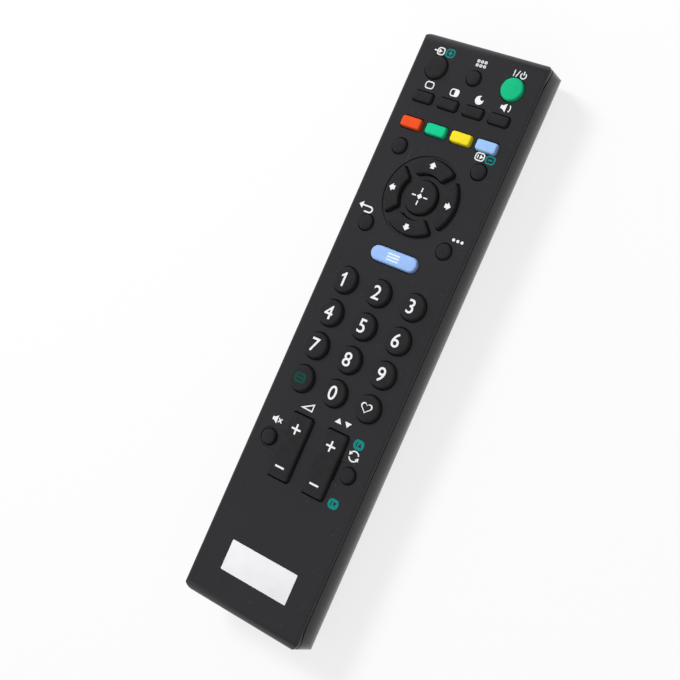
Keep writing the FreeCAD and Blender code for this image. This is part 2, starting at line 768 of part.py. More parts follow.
def make_keypad_mat(rows):
    """The silicone sheet: a window round the foot of each key, and a bar under each rocker."""
    wide = board_half - MAT_INSET
    low = (-wide, board_tail + MAT_INSET, board_top)
    high = (wide, board_head - MAT_INSET, mat_top)
    sheet = box(low, high)
    keys = [key for row in rows for key in row]
    windows = {}
    for key in keys:
        if key.name != "key_enter":
            windows[(key.x, key.y)] = key.chamber()
    for window in windows.values():
        sheet = sheet.cut(window)
    bars = []
    for key in keys:
        if key.form[0] == "rocker":
            reach = ROCKER_HOLE[0] / 2 + RIB_THICK
            low = (key.x - reach, key.y - RIB_THICK, board_top)
            high = (key.x + reach, key.y + RIB_THICK, key_foot - PRESS_CLEAR)
            bars.append(box(low, high))
    return fuse_all([sheet] + bars)


def make_circuit_board():
    """The board, with holes for the locating pins."""
    board = box((-board_half, board_tail, board_under), (board_half, board_head, board_top))
    return cut_all(board, pins(PIN_CLEAR, board_under - OVER, board_top + OVER))


def make_ir_lamp():
    """The infrared lamp: flange, round body and two bent leads."""
    tip_y = head_y - SIDE_WALL - WINDOW_FLANGE - LAMP_WINDOW_CLEAR
    base_y = tip_y - LAMP_BODY
    flange_y = base_y - LAMP_FLANGE
    flange = rod(LAMP_FLANGE_R, (0, flange_y, lamp_z), (0, base_y, lamp_z))
    body = rod(LAMP_R, (0, base_y - EPS, lamp_z), (0, tip_y, lamp_z))
    half = LAMP_LEAD / 2
    bend_y = flange_y - LAMP_LEAD_LENGTH
    leads = []
    for side in (-1, 1):
        x = side * LAMP_LEAD_PITCH / 2
        leads.append(box((x - half, bend_y, lamp_z - half), (x + half, flange_y + EPS, lamp_z + half)))
        leads.append(box((x - half, bend_y, lamp_z - half), (x + half, bend_y + LAMP_LEAD, board_under)))
    return fuse_all([flange, body] + leads)


def make_remote_chip(y):
    """The encoder chip under the board, with a row of bent legs on both sides."""
    size_x, size_y, size_z = CHIP_SIZE
    top = board_under - CHIP_LEG_WIDTH
    body = box((-size_x / 2, y - size_y / 2, top - size_z), (size_x / 2, y + size_y / 2, top))
    long_edges = [e for e in body.Edges if e.BoundBox.XLength > size_x / 2 and e.BoundBox.ZMax < top - EPS]
    body = body.makeChamfer(CHIP_LEG_WIDTH, long_edges)
    legs = []
    for i in range(CHIP_LEGS):
        x = (i - (CHIP_LEGS - 1) / 2) * CHIP_LEG_PITCH
        for side in (-1, 1):
            inner = y + side * (size_y / 2 - EPS)
            outer = y + side * (size_y / 2 + CHIP_LEG_REACH)
            low = (x - CHIP_LEG_WIDTH / 2, min(inner, outer), top - CHIP_LEG_WIDTH)
            high = (x + CHIP_LEG_WIDTH / 2, max(inner, outer), board_under)
            legs.append(box(low, high))
    return fuse_all([body] + legs)


def make_resonator(y):
    """The ceramic resonator, on its edge under the board."""
    size_x, size_y, size_z = RESONATOR_SIZE
    low = (RESONATOR_X - size_x / 2, y - size_y / 2, board_under - size_z)
    high = (RESONATOR_X + size_x / 2, y + size_y / 2, board_under)
    return box(low, high)


def make_capacitor(y):
    """The smoothing capacitor, on its side under the board."""
    z = board_under - CAPACITOR_R
    start_x = CAPACITOR_X - CAPACITOR_LENGTH / 2
    return rod(CAPACITOR_R, (start_x, y, z), (start_x + CAPACITOR_LENGTH, y, z))


def make_board_resistors(y):
    """The small chip resistors under the board, in a row."""
    size_x, size_y, size_z = RESISTOR_SIZE
    parts = []
    for i in range(RESISTOR_COUNT):
        x = (i - (RESISTOR_COUNT - 1) / 2) * RESISTOR_PITCH
        low = (x - size_y / 2, y - size_x / 2, board_under - size_z)
        high = (x + size_y / 2, y + size_x / 2, board_under)
        parts.append(box(low, high))
    return Part.makeCompound(parts)


def cell_span(side):
    """Where the cell on one side starts and ends along the case, with its button at the far end.

    The left cell has its button towards the head, and the right one towards the tail.
    """
    if side < 0:
        start = bay_tail + CONTACT_THICK + SPRING_LENGTH
        return start, start + CELL_LENGTH
    start = bay_head - CONTACT_THICK - SPRING_LENGTH
    return start, start - CELL_LENGTH


def make_cell(side):
    """One AAA cell: a can and its button."""
    start, end = cell_span(side)
    ahead = math.copysign(1, end - start)
    x = side * cell_x
    shoulder = end - ahead * BUTTON_RISE
    can = rod(CELL_D / 2, (x, start, cell_z), (x, shoulder, cell_z))
    button = rod(BUTTON_D / 2, (x, shoulder - ahead * EPS, cell_z), (x, end, cell_z))
    return can.fuse(button).removeSplitter()


def contact_plate(low_x, high_x, wall_y, into):
    """A flat contact against one end wall of the bay."""
    other = wall_y + into * CONTACT_THICK
    low = (low_x, min(wall_y, other), cell_z - CONTACT_DROP)
    high = (high_x, max(wall_y, other), cell_z + CONTACT_LIFT)
    return box(low, high)


def dimple(x, wall_y, into):
    """The raised spot on a contact that meets a cell's button."""
    base = wall_y + into * (CONTACT_THICK - EPS)
    top = wall_y + into * (CONTACT_THICK + DIMPLE_RISE - LAP_CLEAR)
    low = (x - DIMPLE_HALF, min(base, top), cell_z - DIMPLE_HALF)
    high = (x + DIMPLE_HALF, max(base, top), cell_z + DIMPLE_HALF)
    return box(low, high)


def solder_tab(x):
    """The strip that rises through the deck to the board."""
    low = (x - TAB_WIDTH / 2, bay_head - CONTACT_THICK, cell_z)
    high = (x + TAB_WIDTH / 2, bay_head, board_under)
    return box(low, high)


def make_contact_plus():
    """The positive contact, at the head end of the bay on the left."""
    half = CONTACT_WIDTH / 2
    piece = contact_plate(-cell_x - half, -cell_x + half, bay_head, -1)
    return fuse_all([piece, dimple(-cell_x, bay_head, -1), solder_tab(-cell_x)])


def make_contact_minus():
    """The negative contact's plate, at the head end of the bay on the right."""
    half = CONTACT_WIDTH / 2
    piece = contact_plate(cell_x - half, cell_x + half, bay_head, -1)
    return fuse_all([piece, solder_tab(cell_x)])


def make_contact_bridge():
    """The plate that joins the two cells at the tail end of the bay."""
    half = CONTACT_WIDTH / 2
    piece = contact_plate(-cell_x - half, cell_x + half, bay_tail, 1)
    return fuse_all([piece, dimple(cell_x, bay_tail, 1)])


def biarc(start, start_way, end, end_way):
    """Two arcs that leave one point and reach another along the given directions."""
    across = end - start
    ways = start_way + end_way
    along = across.dot(ways)
    spread = 2 * (1 - start_way.dot(end_way))
    reach = (-along + math.sqrt(along * along + spread * across.dot(across))) / spread
    first = start + start_way * reach
    last = end - end_way * reach
    joint = (first + last) * 0.5
    return [round_corner(start, first, joint), round_corner(joint, last, end)]


def round_corner(start, corner, end):
    """The arc from start to end that touches both lines to the corner."""
    middle = (start + end) * 0.5
    half_chord = (end - start).Length / 2
    to_corner = corner - middle
    turn = 2 * math.atan2(to_corner.Length, half_chord)
    sagitta = half_chord * math.tan(turn / 4)
    return Part.Arc(start, middle + to_corner * (sagitta / to_corner.Length), end)


def spring_point(turn, x, base_y, into):
    """The centre of the wire after so many turns, and the way that the wire runs there."""
    turns = SPRING_QUARTERS / 4
    share = turn / turns
    radius = SPRING_BASE_R + (SPRING_TIP_R - SPRING_BASE_R) * share
    climb = SPRING_LENGTH - SPRING_WIRE - LAP_CLEAR
    angle = 2 * math.pi * turn
    y = base_y + into * (SPRING_WIRE / 2 + climb * share)
    place = V(x + radius * math.cos(angle), y, cell_z + radius * math.sin(angle))
    growth = (SPRING_TIP_R - SPRING_BASE_R) / (2 * math.pi * turns)
    way = V(
        growth * math.cos(angle) - radius * math.sin(angle),
        into * climb / (2 * math.pi * turns),
        growth * math.sin(angle) + radius * math.cos(angle),
    )
    return place, way.normalize()


def make_spring(x, base_y, into, name):
    """A conical contact spring: one unbroken wire on biarcs of a quarter turn."""
    nodes = [spring_point(i / 4, x, base_y, into) for i in range(SPRING_QUARTERS + 1)]
    arcs = []
    for (start, start_way), (end, end_way) in zip(nodes, nodes[1:]):
        arcs.extend(biarc(start, start_way, end, end_way))
    path = Part.Wire([arc.toShape() for arc in arcs])
    start, way = nodes[0]
    up = way.cross(V(1, 0, 0)).normalize()
    side = up.cross(way).normalize()
    corners = []
    for i in range(SPRING_SIDES):
        angle = 2 * math.pi * i / SPRING_SIDES
        spoke = side * math.cos(angle) + up * math.sin(angle)
        corners.append(start + spoke * (SPRING_WIRE / 2))
    section = Part.makePolygon(corners + corners[:1])
    coil = path.makePipeShell([section], True, False)
    samples = 24
    per_turn = [
        spring_point(i / samples, x, base_y, into)[0]
        for i in range(samples * SPRING_QUARTERS // 4 + 1)
    ]
    least = min(
        (per_turn[i] - per_turn[j]).Length
        for i in range(len(per_turn))
        for j in range(i + samples // 2, len(per_turn))
    )
    print(f"{name}: least gap between turns {least - SPRING_WIRE:.2f} mm, wanted {SPRING_LIMIT}")
    return coil


def make_case_screw():
    """The screw between the cells, up through the deck into the boss."""
    head_low = deck_under - SCREW_HEAD_HEIGHT
    head = circle_prism(SCREW_HEAD_R, 0.0, screw_y, head_low, deck_under)
    shank = circle_prism(SCREW_R, 0.0, screw_y, deck_under - EPS, deck_top + SCREW_BITE)
    screw = head.fuse(shank).removeSplitter()
    arm = RECESS_SPAN / 2
    half = RECESS_WIDTH / 2
    depth = head_low + RECESS_DEPTH
    cross = box((-arm, screw_y - half, head_low - OVER), (arm, screw_y + half, depth))
    cross = cross.fuse(box((-half, screw_y - arm, head_low - OVER), (half, screw_y + arm, depth)))
    return screw.cut(cross)


def make_face_label():
    """The paper sticker on the face."""
    y = tail_y + LABEL_FROM_TAIL
    low = (LABEL_X - LABEL_SIZE[0] / 2, y - LABEL_SIZE[1] / 2, face_z)
    high = (LABEL_X + LABEL_SIZE[0] / 2, y + LABEL_SIZE[1] / 2, face_z + LABEL_THICK)
    return box(low, high)


def write(name, shape):
    """Checks one piece and writes it under its name."""
    solids = shape.Solids
    if not solids or not shape.isValid():
        raise RuntimeError(name + " is not a valid solid")
    kept = solids[0] if len(solids) == 1 else Part.makeCompound(solids)
    kept.exportStep("parts/" + name + ".step")
    print(f"{name}: {len(solids)} solid(s), {sum(s.Volume for s in solids):.1f} mm3")


def main():
    """Builds every piece and writes it."""
    os.makedirs("parts", exist_ok=True)
    rows = key_layout()
    ribs = board_rib_places()
    bays = [(a + b) / 2 for a, b in zip(ribs, ribs[1:])]
    write("top_shell", make_top_shell(rows))
    write("bottom_shell", make_bottom_shell())
    write("battery_cover", make_battery_cover())
    write("ir_window", make_ir_window())
    write("keypad_mat", make_keypad_mat(rows))
    write("circuit_board", make_circuit_board())
    write("ir_lamp", make_ir_lamp())
    write("remote_chip", make_remote_chip(bays[1]))
    write("resonator", make_resonator(bays[2]))
    write("capacitor", make_capacitor(bays[2]))
    write("board_resistors", make_board_resistors(bays[0]))
    write("battery_cell_left", make_cell(-1))
    write("battery_cell_right", make_cell(1))
    write("contact_plus", make_contact_plus())
    write("contact_minus", make_contact_minus())
    write("contact_bridge", make_contact_bridge())
    spring_tail_y = bay_tail + CONTACT_THICK
    spring_head_y = bay_head - CONTACT_THICK
    write("spring_bridge", make_spring(-cell_x, spring_tail_y, 1, "spring_bridge"))
    write("spring_minus", make_spring(cell_x, spring_head_y, -1, "spring_minus"))
    write("case_screw", make_case_screw())
    write("face_label", make_face_label())
    for row in rows:
        for key in row:
            write(key.name, key.solid())
    print(f"case {case_width:.2f} x {case_length:.2f} x {face_z:.2f} mm")


main()
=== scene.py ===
"""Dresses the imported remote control: mouldings, rubber keys, print, cells and contacts, on a pale table.

Everything is in metres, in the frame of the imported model: +X right of the face, +Y to the infrared
end, +Z out of the face, with the back on z = 0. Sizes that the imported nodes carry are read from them.
"""

import logging
import math
from collections.abc import Callable, Iterable, Sequence
from dataclasses import dataclass, field
from enum import Enum, IntEnum
from itertools import pairwise

import bpy
from mathutils import Matrix, Vector


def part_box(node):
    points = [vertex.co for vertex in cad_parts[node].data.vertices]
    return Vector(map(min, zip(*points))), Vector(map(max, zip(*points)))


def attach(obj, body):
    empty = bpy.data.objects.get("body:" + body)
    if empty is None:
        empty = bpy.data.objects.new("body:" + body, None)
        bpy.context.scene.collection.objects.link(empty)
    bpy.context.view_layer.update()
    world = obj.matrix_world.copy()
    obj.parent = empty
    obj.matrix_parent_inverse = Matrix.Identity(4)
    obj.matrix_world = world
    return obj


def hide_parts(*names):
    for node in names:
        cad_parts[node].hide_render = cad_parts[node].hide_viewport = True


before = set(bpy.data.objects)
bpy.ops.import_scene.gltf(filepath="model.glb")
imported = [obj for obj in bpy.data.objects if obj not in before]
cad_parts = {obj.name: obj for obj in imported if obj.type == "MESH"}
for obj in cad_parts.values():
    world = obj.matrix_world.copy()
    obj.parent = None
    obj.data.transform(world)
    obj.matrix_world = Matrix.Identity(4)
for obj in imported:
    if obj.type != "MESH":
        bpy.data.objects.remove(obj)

MM = 0.001
TINY = 1e-6                # points nearer than this are at one place
SLIVER = 0.012 * MM        # faces narrower than this are dropped
SQUARE = 0.999             # least cosine of a face that counts as square to an axis
FLAT_ANGLE = 0.5           # degrees up to which faces lie in one plane
SHARP_ANGLE = 50.0         # degrees from which an edge is sharp
FLAT_WEIGHT = 80           # how much large faces count in the shading of a moulding
MANY_SIDES = 72            # flats of a key or a cell
SOME_SIDES = 48            # flats of the lamp or the capacitor
DIGIT_SHARE = 0.73         # height of a digit as a share of the font's size
LOG = logging.getLogger("remote_control")

Colour = tuple[float, float, float]
Outline = list[tuple[float, float]]
Piece = bpy.types.Object
Socket = bpy.types.NodeSocket
Tree = bpy.types.NodeTree
Test = Callable[[Vector, Vector], bool]


class Kind(Enum):
    """What an edit-mode selection holds."""

    EDGES = "EDGE"
    FACES = "FACE"


class Axis(IntEnum):
    """The frame's axes, as places in a vector."""

    X = 0
    Y = 1
    Z = 2


# Workbench


def clear_selection() -> None:
    """Leaves edit mode and deselects every object."""
    if bpy.context.object and bpy.context.object.mode != "OBJECT":
        bpy.ops.object.mode_set(mode="OBJECT")
    bpy.ops.object.select_all(action="DESELECT")


def take_up(piece: Piece) -> None:
    """Makes one piece the only selected and the active one."""
    clear_selection()
    piece.select_set(True)
    bpy.context.view_layer.objects.active = piece


def leave_edit() -> None:
    """Goes back to object mode."""
    bpy.ops.object.mode_set(mode="OBJECT")


def open_all(piece: Piece) -> None:
    """Enters edit mode with the whole mesh selected."""
    take_up(piece)
    bpy.ops.object.mode_set(mode="EDIT")
    bpy.ops.mesh.select_all(action="SELECT")


def choose(piece: Piece, kind: Kind, test: Test) -> None:
    """Enters edit mode with the chosen edges or faces selected.

    Args:
        piece: The mesh to work on.
        kind: Edges or faces.
        test: Takes an edge's two ends, or a face's centre and normal, and says whether it is wanted.
    """
    take_up(piece)
    bpy.ops.object.mode_set(mode="EDIT")
    bpy.ops.mesh.select_mode(type=kind.value)
    bpy.ops.mesh.select_all(action="DESELECT")
    leave_edit()
    mesh = piece.data
    if kind is Kind.FACES:
        for face in mesh.polygons:
            face.select = test(face.center, face.normal)
    else:
        for edge in mesh.edges:
            edge.select = test(*(mesh.vertices[index].co for index in edge.vertices))
    bpy.ops.object.mode_set(mode="EDIT")


def across(axis: Axis) -> Test:
    """A test for the edges that lie square to an axis."""
    return lambda first, second: abs(first[axis] - second[axis]) < TINY


def beyond(axis: Axis, level: float) -> Test:
    """A test for the edges that lie at a level of an axis or above it."""
    return lambda first, second: min(first[axis], second[axis]) > level - TINY


def facing(axis: Axis, way: int, level: float) -> Test:
    """A test for the faces at a level of an axis that look along it, or back along it if the way is -1."""
    return lambda centre, normal: normal[axis] * way > SQUARE and abs(centre[axis] - level) < TINY


def inset(*steps: tuple[float, float]) -> None:
    """Insets the selected faces again and again, each time by a width, and moves them out by a height."""
    for width, height in steps:
        bpy.ops.mesh.inset(thickness=width, depth=height)


def named(name: str) -> Piece:
    """Names the active object and applies its place, turn and scale to its mesh.

    Args:
        name: The new object's name.

    Returns:
        The object.
    """
    piece = bpy.context.object
    piece.name = name
    bpy.ops.object.transform_apply(location=True, rotation=True, scale=True)
    return piece


def block(name: str, low: Sequence[float], high: Sequence[float]) -> Piece:
    """A box between two corners.

    Args:
        name: The piece's name.
        low: Its lowest corner.
        high: Its highest corner.

    Returns:
        The new piece.
    """
    corner = Vector(low)
    reach = Vector(high) - corner
    clear_selection()
    bpy.ops.mesh.primitive_cube_add(size=1.0, location=corner + reach / 2)
    bpy.context.object.scale = reach
    return named(name)


def drum(name: str, start: Sequence[float], end: Sequence[float], radius: float, sides: int) -> Piece:
    """A round bar between two points.

    Args:
        name: The piece's name.
        start: The middle of one end.
        end: The middle of the other end.
        radius: Its radius.
        sides: How many flats make its round side.

    Returns:
        The new piece.
    """
    first = Vector(start)
    axis = Vector(end) - first
    turn = axis.to_track_quat("Z", "Y").to_euler()
    clear_selection()
    bpy.ops.mesh.primitive_cylinder_add(
        vertices=sides, radius=radius, depth=axis.length, location=first + axis / 2, rotation=turn
    )
    return named(name)


def clean_flats(piece: Piece) -> None:
    """Joins the faces that lie in one plane."""
    open_all(piece)
    bpy.ops.mesh.dissolve_limited(angle_limit=math.radians(FLAT_ANGLE))
    leave_edit()


def linked(name: str, data: bpy.types.ID) -> Piece:
    """A new object of the scene that holds some data."""
    thing = bpy.data.objects.new(name, data)
    bpy.context.scene.collection.objects.link(thing)
    return thing


def to_mesh(drawn: Piece) -> Piece:
    """Turns a curve or a text into a mesh."""
    take_up(drawn)
    bpy.ops.object.convert(target="MESH")
    return bpy.context.object


def flat_shape(name: str, outlines: Sequence[Outline], middle: Vector) -> Piece:
    """A level shape inside a closed outline, drawn as a flat curve and made a mesh.

    Args:
        name: The shape's name.
        outlines: Its outline, and those of its holes, as corners in metres from its middle.
        middle: Where its middle goes.

    Returns:
        The shape, as one face.
    """
    curve = bpy.data.curves.new(name, "CURVE")
    curve.dimensions = "2D"
    curve.fill_mode = "BOTH"
    for outline in outlines:
        line = curve.splines.new("POLY")
        line.points.add(len(outline) - 1)
        for point, (x, y) in zip(line.points, outline):
            point.co = (x, y, 0.0, 1.0)
        line.use_cyclic_u = True
    shape = to_mesh(linked(name, curve))
    shape.location = middle
    named(name)
    if len(outlines) == 1:
        clean_flats(shape)
    return shape


def raised(shape: Piece, height: float) -> Piece:
    """Makes a level shape solid.

    Args:
        shape: The shape.
        height: How high it becomes.

    Returns:
        The solid.
    """
    open_all(shape)
    bpy.ops.mesh.extrude_region_move(TRANSFORM_OT_translate={"value": (0, 0, height)})
    bpy.ops.mesh.select_all(action="SELECT")
    bpy.ops.mesh.normals_make_consistent(inside=False)
    leave_edit()
    return shape


def plate(node: str, name: str, corner: float, height: float, steps: int = 8) -> Piece:
    """A plate with upright sides and round corners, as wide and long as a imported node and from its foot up.

    Args:
        node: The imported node.
        name: The piece's name.
        corner: The radius of its corners.
        height: How high it is.
        steps: How many flats make each corner.

    Returns:
        The plate.
    """
    low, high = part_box(node)
    middle = middle_of(node)
    outline = box_outline(high.x - low.x, high.y - low.y, corner, steps)
    return raised(flat_shape(name, [outline], Vector((middle.x, middle.y, low.z))), height)


def soften(piece: Piece, test: Test, radius: float, segments: int) -> None:
    """Rounds the chosen edges.

    Args:
        piece: The mesh to work on.
        test: Takes an edge's two ends and says whether it is wanted.
        radius: The radius of the rounding.
        segments: How many strips make it.
    """
    choose(piece, Kind.EDGES, test)
    bpy.ops.mesh.bevel(offset=radius, segments=segments, affect="EDGES", clamp_overlap=True)
    leave_edit()


def upright(first: Vector, second: Vector) -> bool:
    """Whether an edge runs along Z."""
    return abs(first.z - second.z) > TINY and (first - second).xy.length < TINY


def fuse(name: str, pieces: Iterable[Piece]) -> Piece:
    """Joins pieces into one object, without changing their surfaces.

    Args:
        name: The new name.
        pieces: What is joined.

    Returns:
        The joined piece.
    """
    items = list(pieces)
    take_up(items[0])
    for item in items[1:]:
        item.select_set(True)
    if len(items) > 1:
        bpy.ops.object.join()
    items[0].name = name
    return items[0]


def copied(master: Piece, name: str, place: Matrix) -> Piece:
    """A copy of a piece with a mesh of its own, which is moved to the copy's place."""
    clone = linked(name, master.data.copy())
    clone.data.transform(place)
    return clone


def drop_slivers(piece: Piece) -> None:
    """Merges points that nearly touch, and drops the faces that this leaves without a width."""
    open_all(piece)
    bpy.ops.mesh.remove_doubles(threshold=SLIVER)
    bpy.ops.mesh.dissolve_degenerate(threshold=SLIVER)
    leave_edit()


def from_node(node: str, name: str) -> Piece:
    """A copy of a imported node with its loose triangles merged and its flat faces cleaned.

    Args:
        node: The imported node.
        name: The copy's name.

    Returns:
        The copy, which still needs its finish.
    """
    clone = copied(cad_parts[node], name, Matrix.Identity(4))
    clone.data.materials.clear()
    drop_slivers(clone)
    clean_flats(clone)
    bpy.ops.mesh.customdata_custom_splitnormals_clear()
    return clone


def apply_modifier(piece: Piece, kind: str, **settings: float | bool | str) -> None:
    """Adds a modifier and applies it.

    Args:
        piece: The piece.
        kind: The modifier's type.
        **settings: The modifier's own settings.
    """
    step = piece.modifiers.new(kind.lower(), kind)
    for key, value in settings.items():
        setattr(step, key, value)
    take_up(piece)
    bpy.ops.object.modifier_apply(modifier=step.name)


def round_edges(piece: Piece, width: float) -> None:
    """Rounds every sharp edge by a width."""
    apply_modifier(
        piece, "BEVEL", width=width, segments=2, limit_method="ANGLE",
        angle_limit=math.radians(SHARP_ANGLE), use_clamp_overlap=True,
    )
    drop_slivers(piece)


def smooth(piece: Piece, degrees: float, keep_flats: bool = False) -> None:
    """Shades a piece smooth, except where its faces meet at more than an angle.

    Args:
        piece: The piece.
        degrees: The angle.
        keep_flats: Whether large flat faces keep their own flat shading.
    """
    take_up(piece)
    bpy.ops.object.shade_smooth_by_angle(angle=math.radians(degrees))
    if keep_flats:
        apply_modifier(piece, "WEIGHTED_NORMAL", keep_sharp=True, weight=FLAT_WEIGHT)


def seat(piece: Piece, body: str, nodes: Sequence[str] = ()) -> Piece:
    """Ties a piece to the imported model.

    Args:
        piece: The piece.
        body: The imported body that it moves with.
        nodes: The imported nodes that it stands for.

    Returns:
        The piece.
    """
    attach(piece, body)
    if nodes:
        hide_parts(*nodes)
    LOG.info("%s rides on %s", piece.name, body)
    return piece


def middle_of(node: str) -> Vector:
    """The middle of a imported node's box."""
    low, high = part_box(node)
    return (low + high) / 2


# Finishes


def tinted(colour: Colour, share: float) -> Colour:
    """A colour made lighter or darker by a factor."""
    return tuple(min(1.0, part * share) for part in colour)


def supply(tree: Tree, value: float | Colour | Socket, target: Socket) -> None:
    """Gives a socket a number or a colour, or leads another socket to it.

    Args:
        tree: The node tree.
        value: The number, the colour or the other socket.
        target: The socket.
    """
    if isinstance(value, Socket):
        tree.links.new(value, target)
    elif isinstance(value, tuple):
        target.default_value = (*value, 1.0)
    else:
        target.default_value = value


def mapped(
    tree: Tree, source: Socket, low: float, high: float, start: float | Socket, end: float | Socket
) -> Socket:
    """Maps a stretch of values to another and clamps it.

    Args:
        tree: The node tree.
        source: The socket with the values.
        low: The value that becomes start.
        high: The value that becomes end.
        start: The result at low, or the socket that gives it.
        end: The result at high, or the socket that gives it.

    Returns:
        The result's socket.
    """
    node = tree.nodes.new("ShaderNodeMapRange")
    inputs = {"Value": source, "From Min": low, "From Max": high, "To Min": start, "To Max": end}
    for socket, value in inputs.items():
        supply(tree, value, node.inputs[socket])
    return node.outputs["Result"]


def combined(tree: Tree, operation: str, first: Socket, second: float | Socket) -> Socket:
    """Two values combined by a math node.

    Args:
        tree: The node tree.
        operation: The node's operation.
        first: The socket of one value.
        second: The other value, or its socket.

    Returns:
        The result's socket.
    """
    node = tree.nodes.new("ShaderNodeMath")
    node.operation = operation
    supply(tree, first, node.inputs[0])
    supply(tree, second, node.inputs[1])
    return node.outputs[0]


class Recipe:
    """A material's node tree, with its main shader at hand."""

    def __init__(self, name: str) -> None:
        """Starts a material with a Principled shader and Object coordinates."""
        self.material = bpy.data.materials.new(name)
        self.material.use_nodes = True
        self.tree = self.material.node_tree
        self.shader = self.tree.nodes["Principled BSDF"]
        self.place = self.tree.nodes.new("ShaderNodeTexCoord").outputs["Object"]

    def set(self, socket: str, value: float | Socket) -> None:
        """Sets one of the shader's own sockets, or leads a pattern to it."""
        supply(self.tree, value, self.shader.inputs[socket])

    def noise(self, size: float, detail: float = 3.0, stretch: Sequence[float] = (1, 1, 1)) -> Socket:
        """A noise pattern.

        Args:
            size: The size of its features, in metres.
            detail: How many finer layers it has.
            stretch: Scale of the pattern's coordinates along X, Y and Z.

        Returns:
            The pattern's value socket.
        """
        mapping = self.tree.nodes.new("ShaderNodeMapping")
        mapping.inputs["Scale"].default_value = stretch
        supply(self.tree, self.place, mapping.inputs["Vector"])
        pattern = self.tree.nodes.new("ShaderNodeTexNoise")
        pattern.inputs["Scale"].default_value = 1.0 / size
        pattern.inputs["Detail"].default_value = detail
        supply(self.tree, mapping.outputs["Vector"], pattern.inputs["Vector"])
        return pattern.outputs["Fac"]

    def span(self, source: Socket, low: float, high: float, end: float = 1.0) -> Socket:
        """A pattern that is 0 up to one of its values, and reaches its end at another."""
        return mapped(self.tree, source, low, high, 0.0, end)

    def mix(self, factor: Socket, first: Colour | Socket, second: Colour) -> Socket:
        """Mixes two colours by a pattern.

        Args:
            factor: 0 for the first colour, 1 for the second.
            first: A colour, or the socket of one.
            second: The other colour.

        Returns:
            The mixed colour's socket.
        """
        node = self.tree.nodes.new("ShaderNodeMix")
        node.data_type = "RGBA"
        for index, value in ((0, factor), (6, first), (7, second)):
            supply(self.tree, value, node.inputs[index])
        return node.outputs[2]

    def paint(self, factor: Socket, first: Colour | Socket, second: Colour) -> None:
        """Colours the surface with two colours that are mixed by a pattern."""
        self.set("Base Color", self.mix(factor, first, second))

    def roughen(self, pattern: Socket, least: float, most: float, edge: float = 0.3) -> None:
        """Gives the surface a roughness that follows a pattern's values from an edge to 1 less that edge."""
        self.set("Roughness", mapped(self.tree, pattern, edge, 1 - edge, least, most))

    def bump(self, *heights: tuple[Socket, float]) -> None:
        """Raises the surface by patterns.

        Args:
            *heights: Each pattern with the depth that it has, in metres.
        """
        normal = None
        for source, depth in heights:
            node = self.tree.nodes.new("ShaderNodeBump")
            node.inputs["Strength"].default_value = 1.0
            node.inputs["Distance"].default_value = depth
            supply(self.tree, source, node.inputs["Height"])
            if normal is not None:
                supply(self.tree, normal, node.inputs["Normal"])
            normal = node.outputs["Normal"]
        self.set("Normal", normal)


made_materials: dict[str, bpy.types.Material] = {}


@dataclass(frozen=True)
class Finish:
    """A surface that becomes a node material, made the first time that it is asked for."""

    name: str
    colour: Colour

    def lay(self, recipe: Recipe) -> None:
        """Adds the surface's own patterns to a recipe."""

    def material(self) -> bpy.types.Material:
        """The finish's material."""
        if self.name not in made_materials:
            recipe = Recipe(self.name)
            self.lay(recipe)
            made_materials[self.name] = recipe.material
        return made_materials[self.name]


@dataclass(frozen=True)
class MouldedPlastic(Finish):
    """Injection moulded plastic with a fine spark-eroded grain and faint handling marks."""

    roughness: float
    specular: float
    grain: float = 0.28 * MM
    depth: float = 0.006 * MM
    scuffed: bool = False

    def lay(self, recipe: Recipe) -> None:
        """Lays the grain, patches of tone and, on a scuffed face, rare streaks and specks."""
        grain = recipe.noise(self.grain, 2.0)
        patches = recipe.noise(26 * MM, 4.0)
        swirl = recipe.noise(1.6 * MM)
        colour = recipe.mix(recipe.span(patches, 0.35, 0.65), self.colour, tinted(self.colour, 1.1))
        if self.scuffed:
            streaks = recipe.span(recipe.noise(1.2 * MM, 2.0, (1.0, 0.08, 1.0)), 0.66, 0.76, 0.55)
            rare = recipe.span(recipe.noise(15 * MM, 1.0), 0.56, 0.66)
            marked = combined(recipe.tree, "MULTIPLY", streaks, rare)
            colour = recipe.mix(marked, colour, tinted(self.colour, 3.0))
            specks = recipe.span(recipe.noise(0.7 * MM, 0.0), 0.83, 0.86, 0.5)
            colour = recipe.mix(specks, colour, tinted(self.colour, 4.0))
        recipe.set("Base Color", colour)
        recipe.roughen(swirl, self.roughness - 0.03, self.roughness + 0.04)
        recipe.set("Specular IOR Level", self.specular)
        recipe.bump((grain, self.depth), (patches, 0.004 * MM))


@dataclass(frozen=True)
class SiliconeRubber(Finish):
    """Matt silicone with a dusty, slightly mottled skin."""

    roughness: float = 0.68
    mottle: float = 0.24
    specular: float = 0.25

    def lay(self, recipe: Recipe) -> None:
        """Lays the mottling and the dust."""
        skin = recipe.noise(0.35 * MM, 4.0)
        cloud = recipe.noise(2.4 * MM)
        dark = tinted(self.colour, 1 - self.mottle / 2)
        light = tinted(self.colour, 1 + self.mottle / 2)
        mottled = recipe.mix(recipe.span(cloud, 0.3, 0.7), dark, light)
        dust = recipe.span(recipe.noise(0.18 * MM, 1.0), 0.72, 0.8, 0.3)
        recipe.paint(dust, mottled, tinted(self.colour, 1.5))
        recipe.roughen(skin, self.roughness - 0.06, self.roughness + 0.06)
        recipe.set("Specular IOR Level", self.specular)
        recipe.bump((skin, 0.012 * MM), (cloud, 0.02 * MM))


@dataclass(frozen=True)
class ColouredRubber(SiliconeRubber):
    """Coloured silicone, which is more even in tone."""

    mottle: float = 0.08


